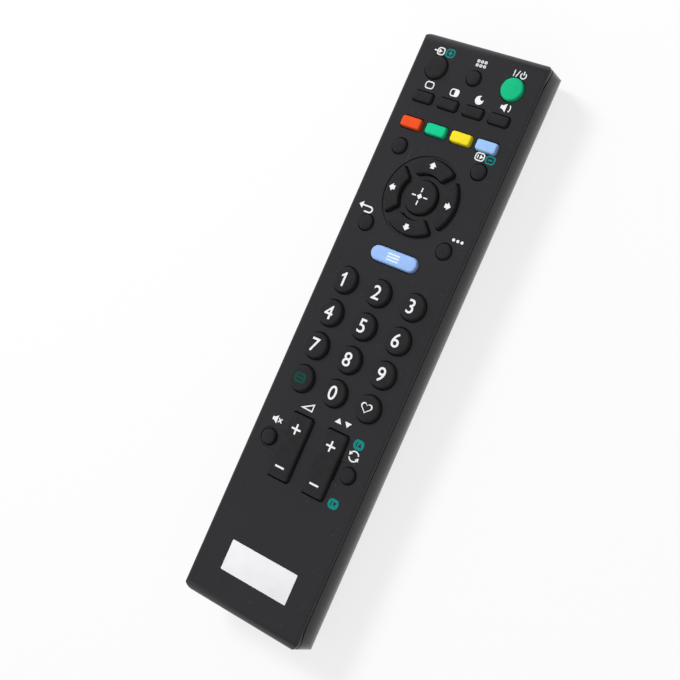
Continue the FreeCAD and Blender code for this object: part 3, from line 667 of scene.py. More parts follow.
@dataclass(frozen=True)
class PrintedInk(Finish):
    """Pad-printed ink: thin, even and a little worn."""

    def lay(self, recipe: Recipe) -> None:
        """Lays the wear."""
        wear = recipe.noise(0.45 * MM)
        recipe.paint(recipe.span(wear, 0.64, 0.82, 0.45), self.colour, tinted(self.colour, 0.6))
        recipe.roughen(wear, 0.45, 0.6)
        recipe.set("Specular IOR Level", 0.2)
        recipe.bump((wear, 0.003 * MM))


@dataclass(frozen=True)
class PlatedMetal(Finish):
    """Nickel or zinc plated strip, wire or can, with fine lines from rolling."""

    roughness: float
    lines: Sequence[float] = (1.0, 0.05, 1.0)

    def lay(self, recipe: Recipe) -> None:
        """Lays the rolling lines and the stains."""
        drawn = recipe.noise(0.12 * MM, stretch=self.lines)
        stain = recipe.span(recipe.noise(3.0 * MM), 0.4, 0.75)
        recipe.paint(stain, self.colour, tinted(self.colour, 0.78))
        recipe.roughen(drawn, self.roughness - 0.07, self.roughness + 0.1, edge=0.25)
        recipe.set("Metallic", 1.0)
        recipe.bump((drawn, 0.003 * MM))


@dataclass(frozen=True)
class SmokedWindow(Finish):
    """Polished plastic that is nearly black to the eye and clear to infrared."""

    def lay(self, recipe: Recipe) -> None:
        """Lays the haze under the polish."""
        haze = recipe.noise(4.0 * MM, 4.0)
        recipe.paint(recipe.span(haze, 0.35, 0.7), self.colour, tinted(self.colour, 1.5))
        recipe.roughen(haze, 0.06, 0.12)
        recipe.set("IOR", 1.58)
        recipe.set("Coat Weight", 0.4)
        recipe.set("Coat Roughness", 0.05)
        recipe.bump((haze, 0.01 * MM))


@dataclass(frozen=True)
class BoardLaminate(Finish):
    """Solder resist over copper tracks, with the tracks showing as lighter lines."""

    track: Colour

    def lay(self, recipe: Recipe) -> None:
        """Lays the tracks and the weave."""
        grid = recipe.tree.nodes.new("ShaderNodeTexBrick")
        inputs = {
            "Vector": recipe.place, "Scale": 1.0 / (9.0 * MM), "Mortar Size": 0.045,
            "Brick Width": 0.9, "Row Height": 0.22,
        }
        for socket, value in inputs.items():
            supply(recipe.tree, value, grid.inputs[socket])
        weave = recipe.noise(0.5 * MM, 2.0)
        tracks = recipe.span(grid.outputs["Fac"], 0.4, 0.6)
        recipe.paint(tracks, self.colour, self.track)
        recipe.roughen(weave, 0.28, 0.4)
        recipe.bump((tracks, 0.03 * MM), (weave, 0.004 * MM))


@dataclass(frozen=True)
class StickerPaper(Finish):
    """Coated white paper with a faint fibre."""

    def lay(self, recipe: Recipe) -> None:
        """Lays the fibre and a faint greying."""
        fibre = recipe.noise(0.3 * MM, 5.0, (1.0, 0.4, 1.0))
        cloud = recipe.noise(5.0 * MM)
        recipe.paint(recipe.span(cloud, 0.4, 0.75, 0.8), self.colour, tinted(self.colour, 0.94))
        recipe.roughen(fibre, 0.42, 0.58)
        recipe.bump((fibre, 0.006 * MM), (cloud, 0.03 * MM))


@dataclass(frozen=True)
class CellSleeve(Finish):
    """The film round a cell, with a lighter band towards its button."""

    band: Colour
    band_edge: float
    ahead: int
    blend: float = 0.05 * MM

    def lay(self, recipe: Recipe) -> None:
        """Lays the film, with the band beyond its edge on the side of the button."""
        split = recipe.tree.nodes.new("ShaderNodeSeparateXYZ")
        supply(recipe.tree, recipe.place, split.inputs["Vector"])
        first, second = (self.colour, self.band) if self.ahead > 0 else (self.band, self.colour)
        banded = recipe.span(split.outputs["Y"], self.band_edge, self.band_edge + self.blend)
        film = recipe.noise(1.2 * MM)
        recipe.paint(banded, first, second)
        recipe.roughen(film, 0.2, 0.32)
        recipe.set("Metallic", 0.25)
        recipe.set("Coat Weight", 0.3)
        recipe.set("Coat Roughness", 0.12)
        recipe.bump((film, 0.006 * MM))


@dataclass(frozen=True)
class CastResin(Finish):
    """Epoxy or dipped resin on a component, with a soft, slightly pitted skin."""

    roughness: float
    clear: float = 0.0

    def lay(self, recipe: Recipe) -> None:
        """Lays the pits and the cloudiness."""
        pits = recipe.noise(0.25 * MM)
        cloud = recipe.span(recipe.noise(1.8 * MM, 2.0), 0.35, 0.65)
        recipe.paint(cloud, self.colour, tinted(self.colour, 1.2))
        recipe.roughen(pits, max(0.02, self.roughness - 0.06), self.roughness + 0.06)
        recipe.set("Transmission Weight", self.clear)
        recipe.bump((pits, 0.008 * MM))


FACE = MouldedPlastic("face_satin", (0.0165, 0.0160, 0.0190), 0.42, 0.40, scuffed=True)
BACK = MouldedPlastic("back_grain", (0.0120, 0.0117, 0.0135), 0.28, 0.38, grain=0.34 * MM, depth=0.008 * MM)
RUBBER = SiliconeRubber("key_rubber", (0.0176, 0.0172, 0.0188))
POWER_RUBBER = ColouredRubber("power_rubber", (0.007, 0.44, 0.198))
MENU_RUBBER = ColouredRubber("menu_rubber", (0.30, 0.475, 0.83))
BAR_RUBBERS = {
    "key_red": ColouredRubber("red_rubber", (0.76, 0.078, 0.013)),
    "key_green": ColouredRubber("green_rubber", (0.007, 0.52, 0.245)),
    "key_yellow": ColouredRubber("yellow_rubber", (0.81, 0.66, 0.020)),
    "key_blue": ColouredRubber("blue_rubber", (0.30, 0.50, 0.80)),
}
MAT_RUBBER = SiliconeRubber("mat_rubber", (0.05, 0.05, 0.052))
WHITE_INK = PrintedInk("white_ink", (0.78, 0.79, 0.80))
MENU_INK = PrintedInk("menu_ink", (0.70, 0.79, 0.85))
TEAL_INK = PrintedInk("teal_ink", (0.003, 0.222, 0.205))
DEEP_GREEN_INK = PrintedInk("deep_green_ink", (0.005, 0.054, 0.042))
PAPER = StickerPaper("sticker_paper", (0.80, 0.80, 0.82))
WINDOW = SmokedWindow("smoked_window", (0.006, 0.003, 0.004))
LAMINATE = BoardLaminate("board_laminate", (0.010, 0.085, 0.030), (0.03, 0.18, 0.06))
NICKEL = PlatedMetal("nickel_strip", (0.62, 0.60, 0.55), 0.28)
SPRING_WIRE = PlatedMetal("spring_wire", (0.66, 0.64, 0.60), 0.22)
ZINC = PlatedMetal("zinc_screw", (0.52, 0.52, 0.53), 0.30, (1.0, 1.0, 0.1))
STEEL_END = PlatedMetal("cell_steel", (0.58, 0.58, 0.57), 0.25, (1.0, 1.0, 1.0))
CHIP_RESIN = CastResin("chip_resin", (0.012, 0.012, 0.013), 0.55)
ORANGE_DIP = CastResin("orange_dip", (0.62, 0.16, 0.02), 0.3)
CAN_SLEEVE = CastResin("can_sleeve", (0.012, 0.016, 0.05), 0.25)
CHIP_CERAMIC = CastResin("chip_ceramic", (0.02, 0.02, 0.022), 0.35)
LAMP_RESIN = CastResin("lamp_resin", (0.75, 0.80, 0.90), 0.08, clear=0.6)
FILM_DARK = (0.018, 0.02, 0.03)
FILM_BAND = (0.55, 0.33, 0.06)


def dressed(piece: Piece, finish: Finish) -> Piece:
    """Gives a piece one material all over, and hands it back."""
    piece.data.materials.clear()
    piece.data.materials.append(finish.material())
    return piece


def dress_part(piece: Piece, finish: Finish, test: Test) -> None:
    """Gives some faces of a dressed piece another material.

    Args:
        piece: The piece.
        finish: The other finish.
        test: Takes a face's centre and normal and says whether it is wanted.
    """
    piece.data.materials.append(finish.material())
    choose(piece, Kind.FACES, test)
    piece.active_material_index = len(piece.data.materials) - 1
    bpy.ops.object.material_slot_assign()
    leave_edit()


# Outlines


def evenly(start: float, end: float, steps: int) -> list[float]:
    """The values from start to end, both included, in even steps."""
    return [start + (end - start) * step / steps for step in range(steps + 1)]


def box_outline(width: float, height: float, corner: float, steps: int = 8) -> Outline:
    """A box with rounded corners, centred at the origin.

    Args:
        width: Its width.
        height: Its height.
        corner: The radius of its corners.
        steps: How many flats make each corner.

    Returns:
        Its corners, going round to the left, none twice.
    """
    points: Outline = []
    for index, (side, end) in enumerate(((1, 1), (-1, 1), (-1, -1), (1, -1))):
        x = side * (width / 2 - corner)
        y = end * (height / 2 - corner)
        for step in range(steps + 1):
            angle = math.pi / 2 * (index + step / steps)
            points.append((x + corner * math.cos(angle), y + corner * math.sin(angle)))
    return without_repeats(points)


def without_repeats(points: Outline) -> Outline:
    """The outline without points that lie on the one before them."""
    kept: Outline = []
    for point in points:
        if not kept or math.dist(point, kept[-1]) > 5 * TINY:
            kept.append(point)
    if math.dist(kept[0], kept[-1]) < 5 * TINY:
        kept.pop()
    return kept


def on_circle(radius: float, degrees: float) -> tuple[float, float]:
    """The point of a circle round the origin in a direction, in degrees to the left of +X."""
    angle = math.radians(degrees)
    return radius * math.cos(angle), radius * math.sin(angle)


def arc(centre: tuple[float, float], radius: float, start: float, end: float, steps: int) -> Outline:
    """Points along an arc, from one angle to another, in radians."""
    turns = evenly(start, end, steps)
    return [(centre[0] + radius * math.cos(turn), centre[1] + radius * math.sin(turn)) for turn in turns]


def circle(radius: float, steps: int) -> Outline:
    """A whole circle round the origin."""
    return arc((0.0, 0.0), radius, 0.0, 2 * math.pi, steps)[:-1]


def quarter_outline(inner: float, outer: float, spoke: float, corner: float, turn: float) -> Outline:
    """A quarter of a ring between two spokes, with round corners.

    Args:
        inner: The ring's inner radius.
        outer: The ring's outer radius.
        spoke: Half the width that is kept free round each diagonal.
        corner: The radius of its corners.
        turn: The direction of its middle, in radians.

    Returns:
        Its corners, going round to the left.
    """
    eighth = math.pi / 4
    across_spoke = eighth + math.pi / 2
    far, near = outer - corner, inner + corner
    far_angle, near_angle = (eighth - math.asin((spoke + corner) / radius) for radius in (far, near))
    origin = (0.0, 0.0)

    def at(radius: float, angle: float) -> tuple[float, float]:
        return radius * math.cos(turn + angle), radius * math.sin(turn + angle)

    arcs = (
        (at(far, -far_angle), corner, -across_spoke, -far_angle, 6),
        (origin, outer, -far_angle, far_angle, 28),
        (at(far, far_angle), corner, far_angle, across_spoke, 6),
        (at(near, near_angle), corner, across_spoke, near_angle + math.pi, 6),
        (origin, inner, near_angle, -near_angle, 16),
        (at(near, -near_angle), corner, math.pi - near_angle, 2 * math.pi - across_spoke, 6),
    )
    points: Outline = []
    for centre, radius, start, end, steps in arcs:
        points += arc(centre, radius, turn + start, turn + end, steps)
    return without_repeats(points)


def heart_outline(width: float, height: float, steps: int = 36) -> Outline:
    """The outline of a heart, going round to the left."""
    points: Outline = []
    for step in range(steps):
        t = 2 * math.pi * step / steps
        x = math.sin(t) ** 3
        y = (13 * math.cos(t) - 5 * math.cos(2 * t) - 2 * math.cos(3 * t) - math.cos(4 * t)) / 16
        points.append((-x * width / 2, (y + 0.13) * height / 2.05))
    return points


def arrow_outline(size: float) -> Outline:
    """A short arrow that points along +X."""
    upper = [(-0.15, 1.45), (-0.15, 0.75), (-1.15, 0.75)]
    lower = [(x, -y) for x, y in reversed(upper)]
    return [(x * size, y * size) for x, y in [(1.25, 0), *upper, *lower]]


def diamond_outline(reach: float) -> Outline:
    """A square that stands on a corner."""
    return [(reach, 0), (0, reach), (-reach, 0), (0, -reach)]


def head_outline(tip: float, back: float, half: float) -> Outline:
    """A triangle that points along +X, from its tip to its flat back."""
    return [(tip, 0), (back, half), (back, -half)]


def plus_outline(reach: float, stroke: float) -> Outline:
    """A plus sign."""
    half = stroke / 2
    return [
        (reach, -half), (reach, half), (half, half), (half, reach), (-half, reach), (-half, half),
        (-reach, half), (-reach, -half), (-half, -half), (-half, -reach), (half, -reach), (half, -half),
    ]


def one_outline(height: float) -> Outline:
    """The digit one, with a flag."""
    top = height / 2
    return [
        (-0.1, -top), (0.62, -top), (0.62, top), (0.1, top), (-0.35, top - 0.62), (-1.0, top - 1.05),
        (-1.0, top - 1.72), (-0.45, top - 1.45), (-0.1, top - 1.12),
    ]


def moon_outline(radius: float) -> Outline:
    """A crescent that opens to the upper right."""
    outer = arc((0.0, 0.0), radius, math.radians(75), math.radians(375), 26)
    start, end = outer[-1], outer[0]
    bite = (radius * 0.52, radius * 0.52)
    first = math.atan2(start[1] - bite[1], start[0] - bite[0])
    last = math.atan2(end[1] - bite[1], end[0] - bite[0]) - 2 * math.pi
    inner = arc(bite, math.dist(start, bite), first, last, 18)
    return outer + inner[1:-1]


# Print


@dataclass
class PrintSheet:
    """Thin printed shapes on one level, which are joined into one piece.

    Places and sizes are given in millimetres from the sheet's middle.
    """

    middle: Vector
    ink: PrintedInk = WHITE_INK
    film: float = 0.02 * MM
    bite: float = 0.06 * MM
    step: float = 0.0004 * MM
    shapes: list[Piece] = field(default_factory=list)

    def point(self, x: float, y: float) -> Vector:
        """A place on the sheet, at the foot of the ink."""
        return self.middle + Vector((x * MM, y * MM, -self.bite))

    def keep(self, shape: Piece) -> None:
        """Gives a flat shape its thickness, a hair more than the one before, and adds it to the sheet."""
        height = self.film + self.bite + self.step * len(self.shapes)
        self.shapes.append(dressed(raised(shape, height), self.ink))

    def shape(
        self, outline: Outline, x: float = 0.0, y: float = 0.0, turn: float = 0.0, stroke: float = 0.0
    ) -> None:
        """A shape with a given outline, filled or drawn as a line.

        Args:
            outline: Its corners, going round to the left.
            x: Where its origin goes.
            y: Where its origin goes.
            turn: How far it is turned to the left, in degrees.
            stroke: The line's width inside the outline, or 0 for a filled shape.
        """
        spin = Matrix.Rotation(math.radians(turn), 2)
        corners = [tuple((spin @ Vector(corner)) * MM) for corner in outline]
        drawn = flat_shape("print_shape", [corners], self.point(x, y))
        if stroke > 0:
            choose(drawn, Kind.FACES, lambda centre, normal: True)
            inset((stroke * MM, 0.0))
            bpy.ops.mesh.delete(type="FACE")
            leave_edit()
        self.keep(drawn)

    def pierced(self, outline: Outline, holes: Sequence[Outline], x: float = 0.0, y: float = 0.0) -> None:
        """A filled shape with holes in it, all given from the same origin."""
        scaled = [[(a * MM, b * MM) for a, b in loop] for loop in (outline, *holes)]
        self.keep(flat_shape("print_shape", scaled, self.point(x, y)))

    def bar(self, x: float, y: float, width: float, height: float, turn: float = 0.0) -> None:
        """A straight stroke, centred at a place and turned to the left by an angle in degrees."""
        half, rise = width / 2, height / 2
        self.shape([(-half, -rise), (half, -rise), (half, rise), (-half, rise)], x, y, turn)

    def dot(self, x: float, y: float, radius: float) -> None:
        """A filled round spot."""
        self.shape(circle(radius, 20), x, y)

    def box(
        self, x: float, y: float, width: float, height: float, corner: float, stroke: float = 0.38
    ) -> None:
        """A box with round corners, drawn as a line."""
        self.shape(box_outline(width, height, corner, 5), x, y, stroke=stroke)

    def sector(self, x: float, y: float, radius: float, stroke: float, start: float, end: float) -> None:
        """A part of a ring, from one angle to another in degrees."""
        steps = max(8, round((end - start) / 9))
        first, last = math.radians(start), math.radians(end)
        outer = arc((0.0, 0.0), radius, first, last, steps)
        self.shape(outer + arc((0.0, 0.0), radius - stroke, last, first, steps), x, y)

    def digit(self, sign: str, height: float, weight: float) -> None:
        """A plain digit, centred on the sheet.

        Args:
            sign: The digit.
            height: Its height.
            weight: How far its strokes grow outwards.
        """
        clear_selection()
        bpy.ops.object.text_add()
        text = bpy.context.object.data
        text.body = sign
        text.size = height * MM / DIGIT_SHARE
        text.offset = weight * MM
        text.resolution_u = 6
        drawn = to_mesh(bpy.context.object)
        points = [vertex.co for vertex in drawn.data.vertices]
        low = Vector((min(p.x for p in points), min(p.y for p in points), 0))
        high = Vector((max(p.x for p in points), max(p.y for p in points), 0))
        drawn.location = self.point(0, 0) - (low + high) / 2
        named("digit")
        open_all(drawn)
        bpy.ops.mesh.remove_doubles(threshold=TINY)
        leave_edit()
        self.keep(drawn)

    def piece(self, name: str) -> Piece:
        """Joins all the shapes of the sheet into a piece."""
        printed = fuse(name, self.shapes)
        smooth(printed, 20)
        return printed


class FacePrint:
    """The symbols on the face: white ones, and teal ones in rounded boxes."""

    def __init__(self) -> None:
        """Lays both sheets on the face, with their origin at the case's middle."""
        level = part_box("top_shell")[1].z
        self.white = PrintSheet(Vector((0, 0, level)), WHITE_INK)
        self.teal = PrintSheet(Vector((0, 0, level)), TEAL_INK)

    def top_row(self) -> None:
        """The symbols above the top row: source, a grid and the two power signs."""
        white = self.white
        white.box(-14.6, 90.6, 2.7, 2.6, 0.9)
        white.bar(-16.3, 90.6, 1.5, 0.42)
        white.shape(head_outline(0.7, -0.5, 0.75), -14.85, 90.6)
        for column in (-1.3, 0.0, 1.3):
            for row in (-0.66, 0.66):
                white.shape(box_outline(0.98, 0.92, 0.25, 3), 0.45 + column, 90.25 + row, stroke=0.3)
        white.bar(12.1, 90.4, 0.32, 2.1)
        white.bar(13.35, 90.4, 0.32, 2.3, -22)
        white.sector(15.3, 90.2, 1.1, 0.36, 130, 410)
        white.bar(15.3, 90.95, 0.36, 1.25)

    def bar_row(self) -> None:
        """The symbols above the dark bars: frame, half frame, moon and loudspeaker."""
        white = self.white
        white.box(-13.5, 79.35, 3.2, 2.5, 0.95)
        white.box(-4.2, 79.3, 3.2, 2.5, 0.95)
        white.bar(-3.5, 79.3, 1.4, 2.0)
        white.shape(moon_outline(1.45), 4.8, 79.3)
        self.loudspeaker(14.0, 79.4)
        white.sector(14.1, 79.4, 1.75, 0.35, -42, 42)

    def loudspeaker(self, x: float, y: float) -> None:
        """A small loudspeaker that faces +X."""
        self.white.shape(
            [(-1.6, -0.55), (-0.9, -0.55), (0.25, -1.35), (0.25, 1.35), (-0.9, 0.55), (-1.6, 0.55)], x, y
        )

    def pad_corners(self) -> None:
        """The symbols beside the pad: two boxes, a bent arrow and three dots."""
        white = self.white
        white.box(12.8, 62.9, 3.3, 2.7, 0.95)
        white.bar(12.1, 62.9, 0.35, 1.2)
        white.shape(head_outline(0.75, -0.4, 0.75), 13.25, 62.9)
        white.shape(head_outline(0.95, -0.55, 1.15), -18.7, 37.2, 180)
        white.bar(-16.65, 37.2, 3.1, 0.49)
        white.sector(-15.2, 36.3, 1.15, 0.5, -90, 90)
        white.bar(-16.05, 35.4, 1.9, 0.49)
        for step in (-1.5, 0.0, 1.5):
            white.dot(17.5 + step, 36.6, 0.5)

    def rocker_heads(self) -> None:
        """The symbols above the rockers and the keys beside them."""
        white = self.white
        white.shape([(2.3, 2.0), (-2.3, -0.55), (2.3, -0.75)], -7.1, -27.9, stroke=0.4)
        white.shape([(1.25, -0.7), (0.0, 0.95), (-1.25, -0.7)], 5.0, -27.4)
        white.shape([(-1.25, 0.7), (0.0, -0.95), (1.25, 0.7)], 8.4, -27.3)
        self.loudspeaker(-15.4, -35.2)
        for turn in (45, -45):
            white.bar(-14.1, -35.2, 1.9, 0.42, turn)
        for start in (20, 200):
            white.sector(14.6, -35.1, 1.8, 0.42, start, start + 125)
            x, y = on_circle(1.6, start + 140)
            white.shape([(0.0, 0.7), (-0.7, -0.4), (0.7, -0.4)], 14.6 + x, -35.1 + y, start + 140)

    def teal_boxes(self) -> None:
        """The teal symbols: two boxes drawn as lines, and two filled ones with a plain sign left out."""
        teal = self.teal
        teal.box(-11.2, 90.7, 3.2, 2.9, 1.1, 0.42)
        teal.shape(diamond_outline(0.8), -11.2, 90.7)
        teal.box(16.5, 62.8, 3.3, 2.7, 1.0, 0.42)
        teal.bar(16.5, 62.8, 1.5, 0.4)
        stem = [(-0.95, -0.8), (-0.6, -0.8), (-0.6, 0.8), (-0.95, 0.8)]
        for x, y, way in ((14.6, -31.35, 1), (14.65, -50.7, -1)):
            head = [(-0.25, -0.65 * way), (1.15, -0.65 * way), (0.45, 0.7 * way)]
            teal.pierced(box_outline(3.7, 3.15, 1.35, 5), [stem, head], x, y)

    def build(self) -> None:
        """Prints both colours and ties them to the case."""
        self.top_row()
        self.bar_row()
        self.pad_corners()
        self.rocker_heads()
        self.teal_boxes()
        for sheet, name in ((self.white, "face_print_white"), (self.teal, "face_print_teal")):
            seat(sheet.piece(name), "case")


# Keys


@dataclass
class KeyGroup:
    """Keys of one form, of which the first is modelled and the others are copied."""

    nodes: tuple[str, ...]
    rubber: SiliconeRubber = RUBBER
    slot: str = "key_rubber"
    edge: float = 0.55 * MM
    crown: float = 0.12 * MM
    crown_steps: int = 6
    crown_share: float = 0.85
    headroom: float = 0.03 * MM
    draft: float = 0.28 * MM

    def face_level(self) -> float:
        """The height of the face, over which the keys taper a little."""
        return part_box("top_shell")[1].z

    def blank(self, node: str) -> tuple[Piece, float]:
        """A straight round key up to the face, and the radius of its corners."""
        low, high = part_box(node)
        middle = middle_of(node)
        radius = (high.x - low.x) / 2
        foot, head = ((middle.x, middle.y, level) for level in (low.z, self.face_level()))
        return drum(node + "_cap", foot, head, radius, MANY_SIDES), radius

    def crowned(self, piece: Piece, top: float, corner: float) -> Piece:
        """Tapers a key over the face, rounds its upper rim and domes its top a little.

        Args:
            piece: The straight key, up to the face.
            top: The height of its flat top.
            corner: The radius of its corners.

        Returns:
            The key, higher by its crown.
        """
        level = self.face_level()
        choose(piece, Kind.FACES, facing(Axis.Z, 1, level))
        inset((self.draft, top - level))
        leave_edit()
        soften(piece, beyond(Axis.Z, top), self.edge, 4)
        choose(piece, Kind.FACES, facing(Axis.Z, 1, top))
        room = (corner - self.draft - self.edge) * self.crown_share / self.crown_steps
        rings = pairwise(evenly(1.0, 0.0, self.crown_steps))
        inset(*((room, self.crown * (outer**2 - inner**2)) for outer, inner in rings))
        leave_edit()
        smooth(piece, 40)
        return piece

    def draw_print(self, node: str, sheet: PrintSheet) -> None:
        """Draws what is printed on a key, which is nothing on most of them."""

    def finish(self, node: str, piece: Piece) -> None:
        """Gives a key its rubber and its print, and ties it to its body.

        Args:
            node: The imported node.
            piece: The key.
        """
        dressed(piece, self.rubber)
        middle = middle_of(node)
        sheet = PrintSheet(Vector((middle.x, middle.y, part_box(node)[1].z - self.headroom)))
        self.draw_print(node, sheet)
        if sheet.shapes:
            piece = fuse(piece.name, [piece, sheet.piece(node + "_print")])
        seat(piece, node, [node])

    def build(self) -> None:
        """Makes the first key, copies it to the others' places and finishes them all."""
        first = self.nodes[0]
        home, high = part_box(first)
        piece, corner = self.blank(first)
        master = self.crowned(piece, high.z - self.headroom - self.crown, corner)
        keys = [master]
        for node in self.nodes[1:]:
            keys.append(copied(master, node + "_cap", Matrix.Translation(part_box(node)[0] - home)))
        for node, key in zip(self.nodes, keys):
            self.finish(node, key)


@dataclass
class NumberBlock(KeyGroup):
    """The ten digits and the two keys beside the zero."""

    digit_height: float = 4.6
    digit_weight: float = 0.05
    heart_hole: float = 0.77

    def draw_print(self, node: str, sheet: PrintSheet) -> None:
        """A digit, a heart or a pair of text lines in a box."""
        sign = node.removeprefix("key_")
        if sign == "1":
            sheet.shape(one_outline(self.digit_height))
        elif sign.isdigit():
            sheet.digit(sign, self.digit_height, self.digit_weight)
        elif node == "key_favourite":
            whole = heart_outline(4.1, 3.75)
            sheet.pierced(whole, [[(x * self.heart_hole, y * self.heart_hole + 0.02) for x, y in whole]])
        else:
            sheet.ink = DEEP_GREEN_INK
            lines = [[(x, y + row) for x, y in box_outline(2.6, 0.5, 0.2, 3)] for row in (-0.6, 0.6)]
            sheet.pierced(box_outline(4.3, 3.4, 1.3, 5), lines)


@dataclass
class EnterKey(KeyGroup):
    """The round key in the middle of the pad."""

    def draw_print(self, node: str, sheet: PrintSheet) -> None:
        """A diamond with four rays."""
        sheet.shape(diamond_outline(0.95))
        for turn in (0, 90, 180, 270):
            sheet.bar(*on_circle(2.1, turn), 1.4, 0.42, turn)


@dataclass
class BarKeys(KeyGroup):
    """Keys with straight sides and round corners."""

    edge: float = 0.36 * MM
    crown: float = 0.05 * MM
    crown_steps: int = 2
    corner: float = 1.0 * MM

    def blank(self, node: str) -> tuple[Piece, float]:
        """A straight key with round corners up to the face, and the radius of its corners."""
        low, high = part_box(node)
        corner = min(self.corner, (high.x - low.x) / 2, (high.y - low.y) / 2)
        return plate(node, node + "_cap", corner, self.face_level() - low.z), corner


@dataclass
class MenuKey(BarKeys):
    """The light blue capsule."""

    edge: float = 0.45 * MM
    crown: float = 0.12 * MM
    crown_steps: int = 4

    def draw_print(self, node: str, sheet: PrintSheet) -> None:
        """Three lines."""
        sheet.ink = MENU_INK
        for row in (-0.95, 0.0, 0.95):
            sheet.bar(0, row, 4.4, 0.5)


@dataclass
class RockerKeys(BarKeys):
    """The two long rockers."""

    edge: float = 0.5 * MM
    draft: float = 0.15 * MM

    def draw_print(self, node: str, sheet: PrintSheet) -> None:
        """A plus at the head end and a minus at the tail end."""
        sheet.shape(plus_outline(1.7, 0.6), 0.0, 5.8)
        sheet.bar(0, -6.9, 3.4, 0.6)


@dataclass
class DirectionPad(KeyGroup):
    """The four quarters of the pad, each modelled on its own."""

    edge: float = 0.38 * MM
    draft: float = 0.18 * MM
    crown: float = 0.06 * MM
    crown_steps: int = 2
    inner: float = 7.5 * MM
    spoke: float = 1.2 * MM
    corner: float = 0.9 * MM
    arrow_size: float = 0.88
    arrow_place: float = 10.25

    def build(self) -> None:
        """Makes the quarters, from the right one round to the left."""
        low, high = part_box(self.nodes[0])
        centre = middle_of("key_enter")
        top = high.z - self.headroom - self.crown
        for index, node in enumerate(self.nodes):
            turn = index * math.pi / 2
            outline = quarter_outline(self.inner, high.x - centre.x, self.spoke, self.corner, turn)
            shape = flat_shape(node + "_cap", [outline], Vector((centre.x, centre.y, low.z)))
            self.finish(node, self.crowned(raised(shape, self.face_level() - low.z), top, self.corner))

    def draw_print(self, node: str, sheet: PrintSheet) -> None:
        """An arrow that points away from the middle."""
        centre = middle_of("key_enter")
        sheet.middle = Vector((centre.x, centre.y, sheet.middle.z))
        turn = self.nodes.index(node) * 90
        sheet.shape(arrow_outline(self.arrow_size), *on_circle(self.arrow_place, turn), turn)


class Keypad:
    """All the keys and the sheet that carries them."""

    def groups(self) -> list[KeyGroup]:
        """The groups of keys, from the infrared end down."""
        digits = tuple(f"key_{digit}" for digit in range(10)) + ("key_subtitle", "key_favourite")
        return [
            KeyGroup(("key_input",)),
            KeyGroup(("key_power",), POWER_RUBBER, "key_power_green"),
            KeyGroup(("key_format",)),
            BarKeys(("key_picture_size", "key_split_screen", "key_sleep", "key_audio")),
            *(BarKeys((node,), rubber, node) for node, rubber in BAR_RUBBERS.items()),
            KeyGroup(("key_info", "key_text", "key_return", "key_tools")),
            DirectionPad(("key_right", "key_up", "key_left", "key_down")),
            EnterKey(("key_enter",), edge=0.6 * MM),
            MenuKey(("key_menu",), MENU_RUBBER, "key_menu_blue", corner=10 * MM),
            NumberBlock(digits),
            RockerKeys(("rocker_volume", "rocker_programme")),
            KeyGroup(("key_mute", "key_jump")),
        ]

    def build(self) -> None:
        """Makes every key, and dresses the sheet under them."""
        for group in self.groups():
            group.build()
        mat = from_node("keypad_mat", "mat_sheet")
        smooth(mat, 25)
        seat(dressed(mat, MAT_RUBBER), "case", ["keypad_mat"])


# Case


def share_of(value: float, start: float, end: float) -> float:
    """How far a value is along a stretch, from 0 at its start to 1 at its end."""
    return min(1.0, max(0.0, (value - start) / (end - start)))


def eased(share: float) -> float:
    """A share that sets out and arrives softly."""
    return share * share * (3 - 2 * share)


